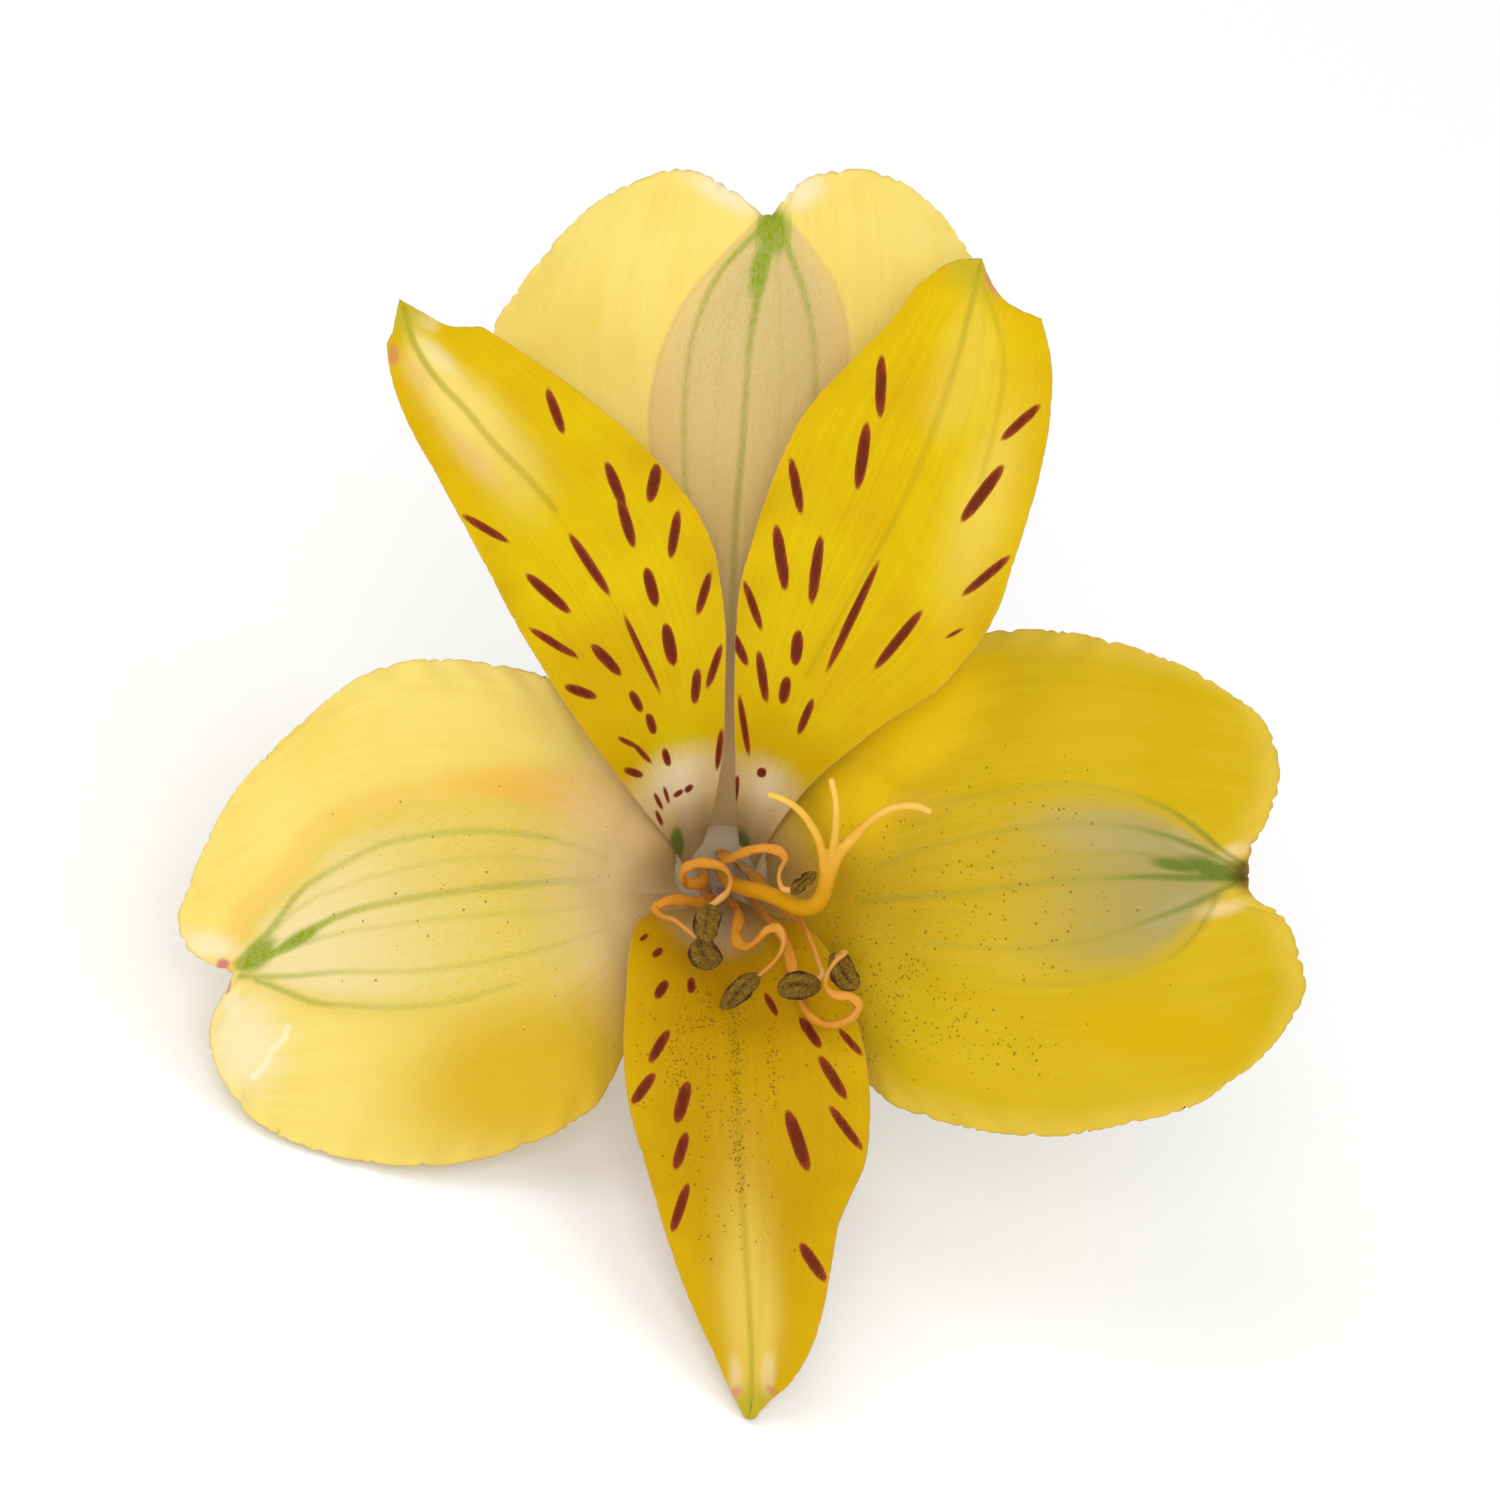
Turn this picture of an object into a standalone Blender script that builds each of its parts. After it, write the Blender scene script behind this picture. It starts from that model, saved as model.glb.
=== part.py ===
"""One alstroemeria bloom with its ovary and a short cut pedicel, lying on a surface.

The flower is modelled in its own frame, in millimetres: x to the right and y up as the
open bloom is seen from the front, z towards the viewer, with the top of the ovary at the
origin. One empty turns that frame so that the bloom lies on the tip of its lower inner
tepal, the margin of its left outer tepal and its pedicel.
"""

import math

import bmesh
import bpy
import numpy as np
from mathutils import Matrix, Vector

MM = 0.001

# How the flower lies: the rise of its axis from the surface, its roll about that axis,
# and where the top of the ovary then is in the row frame.
LIE_RISE = math.radians(33.04)
LIE_ROLL = math.radians(27.5)
LIE_PLACE = (-0.94, -0.39, 9.57)

# Tepals are blades of one thickness. Rows run from the claw to the tip, columns across
# one half, from the midrib to the margin.
BLADE_THICKNESS = 0.65
BLADE_ROWS = 22
HALF_COLUMNS = 6
TOP_SHARE = 2.4

# The claws stand in two rings on the ovary: distance from the axis and height above it.
SEAT_GAP = 0.3
INNER_RING = 2.0
OUTER_RING = 2.95
INNER_CLAW = 1.0
OUTER_CLAW = 1.45

# Height over distance from the axis along a midrib, for the funnel of each whorl.
OUTER_RISE = ((2.95, 0.5), (4.3, 6.0), (5.9, 11.0), (8.3, 15.0), (12.6, 19.3),
              (20.0, 23.4), (28.0, 25.9), (34.0, 26.9), (42.0, 26.2))
INNER_RISE = ((2.0, 0.5), (3.2, 6.0), (4.5, 11.0), (6.5, 15.2), (10.0, 19.8),
              (16.0, 24.4), (24.0, 28.6), (32.0, 31.4), (41.5, 33.2))
LOWER_RISE = ((2.0, 0.5), (3.2, 6.0), (4.5, 11.0), (6.5, 15.2), (10.0, 19.4),
              (16.0, 23.4), (24.0, 26.9), (30.0, 28.2), (34.0, 28.0))

# How far a cross-section bends towards the viewer at its margins, as one over its
# radius in millimetres, over distance from the axis. Claws follow the funnel.
OUTER_CUP = ((2.95, 0.26), (4.3, 0.08), (5.9, 0.02), (9.0, 0.0), (14.0, -0.004),
             (22.0, -0.014), (34.0, -0.022), (42.0, -0.024))
INNER_CUP = ((2.0, 0.38), (4.5, 0.20), (8.0, 0.10), (14.0, 0.05), (22.0, 0.035),
             (32.0, 0.01), (41.5, -0.04))
LOWER_CUP = ((2.0, 0.38), (4.5, 0.16), (8.0, 0.04), (14.0, -0.01), (22.0, -0.02),
             (34.0, -0.03))

# Margins wave up and down, in the outer part of a blade's breadth only. The waves set
# in over a stretch of the midrib beyond the funnel.
WAVE_LENGTH = 9.0
WAVE_DEPTH = 0.45
WAVE_REACH = 0.5
WAVE_START = 14.0
WAVE_STRETCH = 8.0

STAMEN_RING = 1.2
FILAMENT_RADIUS = 0.36
ANTHER_FURROW = 0.28
FURROW_WIDTH = 0.14

# Radii at even steps along the style, from the ovary to the end of a branch.
STYLE_RADII = (0.42, 0.44, 0.47, 0.5, 0.54, 0.58, 0.54, 0.33, 0.27)
STIGMA_RADII = (0.36, 0.34, 0.28, 0.26)

OVARY_LENGTH = 8.0
OVARY_TOP = 3.65
OVARY_RIBS = 6
OVARY_RIB_DEPTH = 0.07

PEDICEL_RADIUS = 1.15
PEDICEL_LENGTH = 34.0
PEDICEL_BEND = 14.0

YELLOW = (0.80, 0.60, 0.10)
GOLD = (0.74, 0.52, 0.01)
GREEN = (0.16, 0.30, 0.05)
PALE_GREEN = (0.27, 0.38, 0.09)
SALMON = (0.74, 0.32, 0.09)
OLIVE = (0.16, 0.11, 0.02)
AMBER = (0.78, 0.45, 0.03)


def clear_scene():
    for obj in list(bpy.data.objects):
        bpy.data.objects.remove(obj)


def material(name, colour, roughness):
    """A Principled material with the part's colour, in linear light."""
    made = bpy.data.materials.new(name)
    made.use_nodes = True
    shader = made.node_tree.nodes["Principled BSDF"]
    shader.inputs["Base Color"].default_value = (*colour, 1.0)
    shader.inputs["Roughness"].default_value = roughness
    shader.inputs["Metallic"].default_value = 0.0
    made.diffuse_color = (*colour, 1.0)
    return made


def smooth(keys, values, at):
    """Values on a smooth curve through the given ones, each at its key."""
    keys = np.asarray(keys, float)
    values = np.asarray(values, float)
    at = np.asarray(at, float)
    slopes = np.gradient(values, keys, axis=0)
    left = np.clip(np.searchsorted(keys, at, side="right") - 1, 0, len(keys) - 2)
    step = keys[left + 1] - keys[left]
    k = np.clip((at - keys[left]) / step, 0.0, 1.0)
    if values.ndim > 1:
        k = k[:, None]
        step = step[:, None]
    near = values[left] * (1 + 2 * k) + slopes[left] * step * k
    far = values[left + 1] * (3 - 2 * k) - slopes[left + 1] * step * (1 - k)
    return near * (1 - k) ** 2 + far * k ** 2


def along(points, share):
    """Points on a smooth line through the given ones, by share of its length."""
    points = np.asarray(points, float)
    steps = np.linalg.norm(np.diff(points, axis=0), axis=1)
    keys = np.concatenate([[0.0], np.cumsum(steps)]) / steps.sum()
    return smooth(keys, points, share)


def profile(pairs, at):
    pairs = np.asarray(pairs, float)
    return smooth(pairs[:, 0], pairs[:, 1], np.clip(at, pairs[0, 0], pairs[-1, 0]))


def ring_point(radius, degrees):
    angle = math.radians(degrees)
    return np.array([radius * math.cos(angle), radius * math.sin(angle)])


def claw_line(radius, half_width, degrees):
    """The left, middle and right of a claw's root as its tepal is seen tip upwards."""
    middle = ring_point(radius, degrees)
    outwards = middle / radius
    right = np.array([outwards[1], -outwards[0]])
    return middle - half_width * right, middle, middle + half_width * right


def half_face(share, across, midrib, side, top):
    """Face points of one half of a blade, between its midrib, side and top margins.

    share runs from the claw to the tip and across from the midrib to the margin. The
    side margin ends at the shoulder, and the top one runs there from the tip.
    """
    middle = along(midrib, share)
    margin = along(side, share)
    tip = np.asarray(midrib[-1], float)
    shoulder = np.asarray(side[-1], float)
    straight = tip + across[:, None] * (shoulder - tip)
    bulge = along(top, across) - straight
    face = middle + across[:, None] * (margin - middle)
    return face + (share ** TOP_SHARE)[:, None] * bulge, middle


def even_shares(midrib, rise, rows):
    """Shares of the midrib that are evenly spaced along its length in space."""
    fine = np.linspace(0.0, 1.0, 400)
    face = along(midrib, fine)
    height = profile(rise, np.linalg.norm(face, axis=1))
    line = np.column_stack([face, height])
    lengths = np.linalg.norm(np.diff(line, axis=0), axis=1)
    covered = np.concatenate([[0.0], np.cumsum(lengths)]) / lengths.sum()
    return np.interp(rows, covered, fine)


def blade_points(tepal, rows, across, depth):
    """Points in space for rows from 0 at the claw to 1 at the tip, and across from
    -1 at the left margin to 1 at the right one, at a depth behind the face."""
    left_root, middle_root, right_root = claw_line(*tepal["claw"])
    midrib = [middle_root, *tepal["midrib"]]
    share = even_shares(midrib, tepal["rise"], rows)
    spread = np.abs(across)
    left, middle = half_face(
        share, spread, midrib, [left_root, *tepal["left"]], tepal["left_top"]
    )
    right, _ = half_face(
        share, spread, midrib, [right_root, *tepal["right"]], tepal["right_top"]
    )
    face = np.where((across < 0)[:, None], left, right)
    reach = np.linalg.norm(middle, axis=1)
    height = profile(tepal["rise"], reach)
    apart = np.linalg.norm(face - middle, axis=1)

    ahead = np.clip(share + 0.01, 0.0, 1.0)
    behind = np.clip(share - 0.01, 0.0, 1.0)
    run = along(midrib, ahead) - along(midrib, behind)
    climb = profile(tepal["rise"], np.linalg.norm(along(midrib, ahead), axis=1)) - profile(
        tepal["rise"], np.linalg.norm(along(midrib, behind), axis=1)
    )
    tangent = np.column_stack([run, climb])
    tangent /= np.linalg.norm(tangent, axis=1)[:, None]
    normal = np.array([0.0, 0.0, 1.0]) - tangent[:, 2:] * tangent
    normal /= np.linalg.norm(normal, axis=1)[:, None]

    bend = 0.5 * profile(tepal["cup"], reach) * apart ** 2
    margin = np.clip((spread - WAVE_REACH) / (1 - WAVE_REACH), 0, 1)
    length = reach + apart
    wave = np.sin(2 * math.pi * (length + tepal["phase"] * np.sign(across)) / WAVE_LENGTH)
    open_part = np.clip((reach - WAVE_START) / WAVE_STRETCH, 0.0, 1.0)
    open_part *= 1 - share ** tepal["calm"]
    bend = bend + WAVE_DEPTH * wave * margin ** 2 * open_part
    return np.column_stack([face, height]) + (bend - depth)[:, None] * normal


def blade_mesh(tepal):
    """A closed blade: a grid bent to the tepal's face and split into triangles, with a
    copy behind it that is split alike, and a rim between the two."""
    shape = bmesh.new()
    bmesh.ops.create_grid(
        shape, x_segments=2 * HALF_COLUMNS, y_segments=BLADE_ROWS, size=0.5
    )
    row = shape.verts.layers.float.new("row")
    across = shape.verts.layers.float.new("across")
    for vertex in shape.verts:
        vertex[row] = vertex.co.y + 0.5
        vertex[across] = 2 * vertex.co.x

    def place(vertices, depth):
        rows = np.array([vertex[row] for vertex in vertices])
        spread = np.array([vertex[across] for vertex in vertices])
        points = blade_points(tepal, rows, spread, depth)
        for vertex, point in zip(vertices, points):
            vertex.co = Vector(point) * MM

    place(shape.verts[:], 0.0)
    bmesh.ops.triangulate(shape, faces=shape.faces[:], quad_method="SHORT_EDGE")
    made = bmesh.ops.extrude_face_region(
        shape, geom=shape.faces[:] + shape.edges[:], use_keep_orig=True
    )
    place([part for part in made["geom"] if isinstance(part, bmesh.types.BMVert)], BLADE_THICKNESS)
    bmesh.ops.recalc_face_normals(shape, faces=shape.faces[:])
    mesh = bpy.data.meshes.new(tepal["name"])
    shape.to_mesh(mesh)
    shape.free()
    return mesh


def add_node(name, mesh, look, parent):
    mesh.materials.append(look)
    mesh.shade_smooth()
    mesh.set_sharp_from_angle(angle=math.radians(50))
    node = bpy.data.objects.new(name, mesh)
    bpy.context.scene.collection.objects.link(node)
    node.parent = parent
    return node


def tube_mesh(name, path, radii, points, sides):
    """A closed round tube along a smooth line through the path's points."""
    share = np.linspace(0.0, 1.0, points)
    line = along(path, share)
    widths = np.interp(share, np.linspace(0.0, 1.0, len(radii)), radii)
    curve = bpy.data.curves.new(name, "CURVE")
    curve.dimensions = "3D"
    curve.twist_mode = "MINIMUM"
    curve.bevel_depth = MM
    curve.bevel_resolution = (sides - 4) // 2
    curve.use_fill_caps = True
    spline = curve.splines.new("POLY")
    spline.points.add(points - 1)
    for point, place, width in zip(spline.points, line, widths):
        point.co = (*(Vector(place) * MM), 1.0)
        point.radius = width
    guide = bpy.data.objects.new(name, curve)
    bpy.context.scene.collection.objects.link(guide)
    bpy.context.view_layer.update()
    graph = bpy.context.evaluated_depsgraph_get()
    mesh = bpy.data.meshes.new_from_object(guide.evaluated_get(graph))
    bpy.data.objects.remove(guide)
    shape = bmesh.new()
    shape.from_mesh(mesh)
    bmesh.ops.remove_doubles(shape, verts=shape.verts[:], dist=1e-7)
    bmesh.ops.recalc_face_normals(shape, faces=shape.faces[:])
    shape.to_mesh(mesh)
    shape.free()
    return mesh


def stamen_root(degrees):
    return (*ring_point(STAMEN_RING, degrees), SEAT_GAP)


def add_filament(index, stamen, look, parent):
    path = [stamen_root(stamen["root"]), *stamen["path"]]
    radii = [0.8 * FILAMENT_RADIUS, FILAMENT_RADIUS, FILAMENT_RADIUS, 0.7 * FILAMENT_RADIUS]
    mesh = tube_mesh(f"filament_{index}", path, radii, stamen["points"], 6)
    return add_node(mesh.name, mesh, look, parent)


def add_anther(index, stamen, look, parent):
    """Two pollen sacs side by side: a long bean with a furrow down its front."""
    shape = bmesh.new()
    bmesh.ops.create_uvsphere(shape, u_segments=12, v_segments=8, radius=0.5)
    length, width, depth = (MM * size for size in stamen["size"])
    for vertex in shape.verts:
        x, y, z = vertex.co
        furrow = ANTHER_FURROW * math.exp(-(y / FURROW_WIDTH) ** 2) * max(z, 0.0) * 2
        vertex.co = Vector((x * length, y * width, (z - 0.5 * furrow) * depth))
    along_axis = Vector(stamen["along"]).normalized()
    front = Vector(stamen["front"])
    front = (front - front.dot(along_axis) * along_axis).normalized()
    turn = Matrix((along_axis, front.cross(along_axis), front)).transposed()
    place = Matrix.Translation(Vector(stamen["anther"]) * MM) @ turn.to_4x4()
    bmesh.ops.transform(shape, matrix=place, verts=shape.verts[:])
    bmesh.ops.recalc_face_normals(shape, faces=shape.faces[:])
    mesh = bpy.data.meshes.new(f"anther_{index}")
    shape.to_mesh(mesh)
    shape.free()
    return add_node(mesh.name, mesh, look, parent)


def add_style(look, parent):
    """The style and its stigma branches, joined by one Boolean union."""
    trunk = tube_mesh("style", STYLE_PATH, STYLE_RADII, 32, 8)
    branches = bpy.data.collections.new("stigma_branches")
    for number, path in enumerate(STIGMA_PATHS):
        mesh = tube_mesh(f"stigma_{number}", path, STIGMA_RADII, 11, 8)
        branches.objects.link(bpy.data.objects.new(mesh.name, mesh))
    node = add_node("style", trunk, look, parent)
    bpy.context.scene.collection.children.link(branches)
    union = node.modifiers.new("join", "BOOLEAN")
    union.operation = "UNION"
    union.operand_type = "COLLECTION"
    union.collection = branches
    union.solver = "EXACT"
    for branch in branches.objects:
        branch.parent = parent
    bpy.context.view_layer.update()
    graph = bpy.context.evaluated_depsgraph_get()
    joined = bpy.data.meshes.new_from_object(node.evaluated_get(graph))
    node.modifiers.clear()
    node.data = joined
    joined.name = "style"
    for branch in list(branches.objects):
        bpy.data.objects.remove(branch)
    bpy.data.collections.remove(branches)
    return node


def add_ovary(look, parent):
    """The inferior ovary: a turned body with six ribs and a flat top."""
    outline = ((0.0, -OVARY_LENGTH), (1.3, -OVARY_LENGTH), (2.0, -7.2), (2.9, -5.6),
               (3.35, -3.6), (3.45, -1.8), (OVARY_TOP, -0.35), (3.4, 0.0), (0.0, 0.0))
    shape = bmesh.new()
    line = [shape.verts.new((radius * MM, 0.0, height * MM)) for radius, height in outline]
    edges = [shape.edges.new(pair) for pair in zip(line, line[1:])]
    bmesh.ops.spin(
        shape, geom=line + edges, cent=(0, 0, 0), axis=(0, 0, 1),
        angle=2 * math.pi, steps=24, use_merge=True,
    )
    bmesh.ops.remove_doubles(shape, verts=shape.verts[:], dist=1e-7)
    for vertex in shape.verts:
        x, y, z = vertex.co
        rib = math.cos(OVARY_RIBS * math.atan2(y, x)) * math.sin(math.pi * -z / (OVARY_LENGTH * MM))
        vertex.co = Vector((x * (1 + OVARY_RIB_DEPTH * rib), y * (1 + OVARY_RIB_DEPTH * rib), z))
    bmesh.ops.recalc_face_normals(shape, faces=shape.faces[:])
    mesh = bpy.data.meshes.new("ovary")
    shape.to_mesh(mesh)
    shape.free()
    return add_node("ovary", mesh, look, parent)


def pedicel_path():
    """From under the ovary down towards the surface, then along it.

    In the flower's frame the surface's own direction leans from straight back by the
    rise, towards the side that is uppermost as the flower lies.
    """
    upwards = np.array([math.sin(LIE_ROLL), math.cos(LIE_ROLL)])
    start = np.array([0.0, 0.0, -OVARY_LENGTH - SEAT_GAP])
    place = start
    path = [place]
    steps = 12
    for step in range(steps):
        run = (step + 0.5) / steps * PEDICEL_LENGTH
        lean = LIE_RISE * min(1.0, run / PEDICEL_BEND)
        side = math.sin(lean)
        heading = np.array([side * upwards[0], side * upwards[1], -math.cos(lean)])
        place = place + heading * PEDICEL_LENGTH / steps
        path.append(place)
    return path


def add_pedicel(look, parent):
    radii = [1.1 * PEDICEL_RADIUS, PEDICEL_RADIUS, 0.95 * PEDICEL_RADIUS, PEDICEL_RADIUS]
    mesh = tube_mesh("pedicel", pedicel_path(), radii, 18, 10)
    return add_node("pedicel", mesh, look, parent)


# Tepals. Every outline is in the face frame; left and right are as the blade is seen
# from the front with its tip upwards. Side margins run from above the claw to the
# shoulder, top margins from the tip to the shoulder. Calm is how late the waves fade
# towards the tip, and phase shifts them along the margin.
OUTER_TOP = {
    "name": "outer_tepal_top",
    "claw": (OUTER_RING, OUTER_CLAW, 90.0),
    "rise": OUTER_RISE,
    "cup": OUTER_CUP,
    "calm": 12,
    "phase": 0.0,
    "midrib": ((0.3, 6.0), (0.7, 13.0), (0.9, 20.3), (1.4, 26.6), (1.8, 32.8),
               (2.7, 37.8), (3.25, 41.3)),
    "left": ((-3.4, 6.0), (-7.0, 13.0), (-10.8, 19.5), (-13.6, 26.0), (-14.6, 31.0),
             (-14.2, 34.6), (-12.6, 37.2), (-10.6, 39.8)),
    "left_top": ((3.25, 41.3), (2.2, 41.8), (1.0, 42.8), (-0.4, 43.7), (-2.6, 44.3),
                 (-4.6, 43.8), (-7.4, 42.5), (-10.6, 39.8)),
    "right": ((3.6, 5.6), (7.2, 12.0), (11.0, 18.6), (14.2, 25.0), (16.3, 31.0),
              (16.8, 35.4), (16.0, 38.8), (14.3, 41.2)),
    "right_top": ((3.25, 41.3), (4.1, 42.4), (5.2, 43.5), (6.8, 44.1), (8.6, 44.3),
                  (10.8, 43.8), (12.8, 42.5), (14.3, 41.2)),
}
OUTER_LEFT = {
    "name": "outer_tepal_left",
    "claw": (OUTER_RING, OUTER_CLAW, 210.0),
    "rise": OUTER_RISE,
    "cup": OUTER_CUP,
    "calm": 12,
    "phase": 2.0,
    "midrib": ((-5.6, -1.3), (-10.0, -0.8), (-13.8, -0.7), (-20.0, -1.6),
               (-24.6, -3.0), (-28.2, -5.0), (-30.5, -6.2)),
    "left": ((-4.4, -6.6), (-5.9, -11.4), (-7.6, -14.7), (-11.4, -17.0), (-15.6, -18.1),
             (-20.0, -18.2), (-24.0, -17.5), (-27.3, -16.4)),
    "left_top": ((-30.5, -6.2), (-30.9, -7.2), (-31.7, -8.6), (-32.0, -10.2),
                 (-31.3, -12.5), (-29.8, -14.6), (-27.3, -16.4)),
    "right": ((-3.95, 3.4), (-5.2, 6.8), (-7.8, 10.3), (-11.0, 12.7), (-14.6, 13.6),
              (-19.0, 13.7), (-22.4, 12.6), (-25.4, 10.3), (-28.3, 7.6)),
    "right_top": ((-30.5, -6.2), (-32.1, -5.5), (-33.4, -4.5), (-33.9, -2.8),
                  (-33.2, -0.6), (-32.0, 2.2), (-30.4, 5.0), (-28.3, 7.6)),
}
OUTER_RIGHT = {
    "name": "outer_tepal_right",
    "claw": (OUTER_RING, OUTER_CLAW, 330.0),
    "rise": OUTER_RISE,
    "cup": OUTER_CUP,
    "calm": 12,
    "phase": 4.0,
    "midrib": ((5.8, -1.6), (10.0, -1.3), (15.0, -1.1), (20.6, -0.5), (27.0, -0.1),
               (33.1, 0.0)),
    "left": ((4.05, 3.4), (5.4, 7.0), (8.3, 10.6), (12.2, 13.8), (16.6, 15.4),
             (21.2, 15.3), (25.4, 14.4), (29.0, 13.1), (32.2, 11.2)),
    "left_top": ((33.1, 0.0), (33.2, 1.3), (34.2, 3.2), (35.0, 5.8), (34.6, 8.4),
                 (33.6, 10.0), (32.2, 11.2)),
    "right": ((5.0, -6.4), (7.4, -11.0), (10.6, -14.6), (15.0, -16.1), (20.8, -16.6),
              (25.0, -15.8), (29.0, -14.7), (32.6, -12.5)),
    "right_top": ((33.1, 0.0), (33.4, -1.3), (35.0, -2.3), (36.2, -4.8), (36.6, -7.0),
                  (35.6, -9.2), (34.2, -11.0), (32.6, -12.5)),
}
INNER_UPPER_LEFT = {
    "name": "inner_tepal_upper_left",
    "claw": (INNER_RING, INNER_CLAW, 150.0),
    "rise": INNER_RISE,
    "cup": INNER_CUP,
    "calm": 4,
    "phase": 1.0,
    "midrib": ((-2.1, 3.6), (-2.9, 7.4), (-4.5, 12.2), (-7.5, 18.4), (-11.3, 23.4),
               (-15.0, 28.4), (-18.0, 32.4), (-19.8, 35.7)),
    "left": ((-3.1, 1.9), (-5.0, 4.5), (-8.7, 9.4), (-13.0, 16.1), (-15.1, 20.2),
             (-17.5, 24.7), (-19.4, 28.2), (-20.4, 31.2), (-20.6, 32.9)),
    "left_top": ((-19.8, 35.7), (-20.0, 34.8), (-20.2, 33.8), (-20.6, 32.9)),
    "right": ((-0.7, 3.6), (0.0, 7.4), (0.2, 12.0), (0.0, 18.0), (-1.3, 22.4),
              (-4.4, 26.4), (-8.4, 29.8), (-12.2, 32.4), (-14.6, 33.9)),
    "right_top": ((-19.8, 35.7), (-18.4, 34.9), (-17.0, 34.1), (-14.6, 33.9)),
}
INNER_UPPER_RIGHT = {
    "name": "inner_tepal_upper_right",
    "claw": (INNER_RING, INNER_CLAW, 30.0),
    "rise": INNER_RISE,
    "cup": INNER_CUP,
    "calm": 4,
    "phase": 5.0,
    "midrib": ((2.4, 3.6), (3.4, 7.2), (5.3, 12.2), (8.1, 17.2), (11.2, 22.8),
               (13.4, 28.0), (15.0, 33.0), (16.2, 38.2)),
    "left": ((1.1, 3.4), (1.0, 7.2), (1.0, 12.4), (1.5, 18.6), (3.1, 24.1), (5.0, 28.4),
             (8.2, 32.0), (10.6, 34.4), (12.2, 36.5)),
    "left_top": ((16.2, 38.2), (15.2, 38.2), (14.2, 37.9), (12.2, 36.5)),
    "right": ((3.0, 1.9), (5.2, 5.2), (9.4, 9.0), (14.7, 12.8), (17.2, 16.2),
              (18.6, 20.4), (19.8, 24.6), (20.5, 28.6), (20.5, 32.0), (19.9, 34.4)),
    "right_top": ((16.2, 38.2), (16.7, 36.9), (17.6, 35.6), (19.9, 34.4)),
}
INNER_LOWER = {
    "name": "inner_tepal_lower",
    "claw": (INNER_RING, INNER_CLAW, 270.0),
    "rise": LOWER_RISE,
    "cup": LOWER_CUP,
    "calm": 4,
    "phase": 3.0,
    "midrib": ((0.3, -4.2), (0.9, -8.6), (1.1, -14.1), (1.4, -20.3), (1.8, -26.6),
               (2.0, -31.0), (1.9, -33.9)),
    "left": ((2.4, -3.0), (6.4, -5.0), (8.5, -8.8), (9.4, -13.4), (9.1, -17.6),
             (7.5, -21.4), (6.8, -25.4), (5.9, -29.0), (4.5, -31.5), (3.1, -32.8),
             (2.4, -33.6)),
    "left_top": ((1.9, -33.9), (2.2, -33.8), (2.4, -33.6)),
    "right": ((-2.0, -2.9), (-5.0, -4.3), (-6.0, -8.6), (-5.9, -13.4), (-4.6, -18.4),
              (-3.2, -23.0), (-1.4, -27.6), (-0.3, -30.0), (0.6, -32.0), (1.4, -33.6)),
    "right_top": ((1.9, -33.9), (1.6, -33.8), (1.4, -33.6)),
}
TEPALS = (OUTER_TOP, OUTER_LEFT, OUTER_RIGHT, INNER_UPPER_LEFT, INNER_UPPER_RIGHT, INNER_LOWER)

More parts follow.
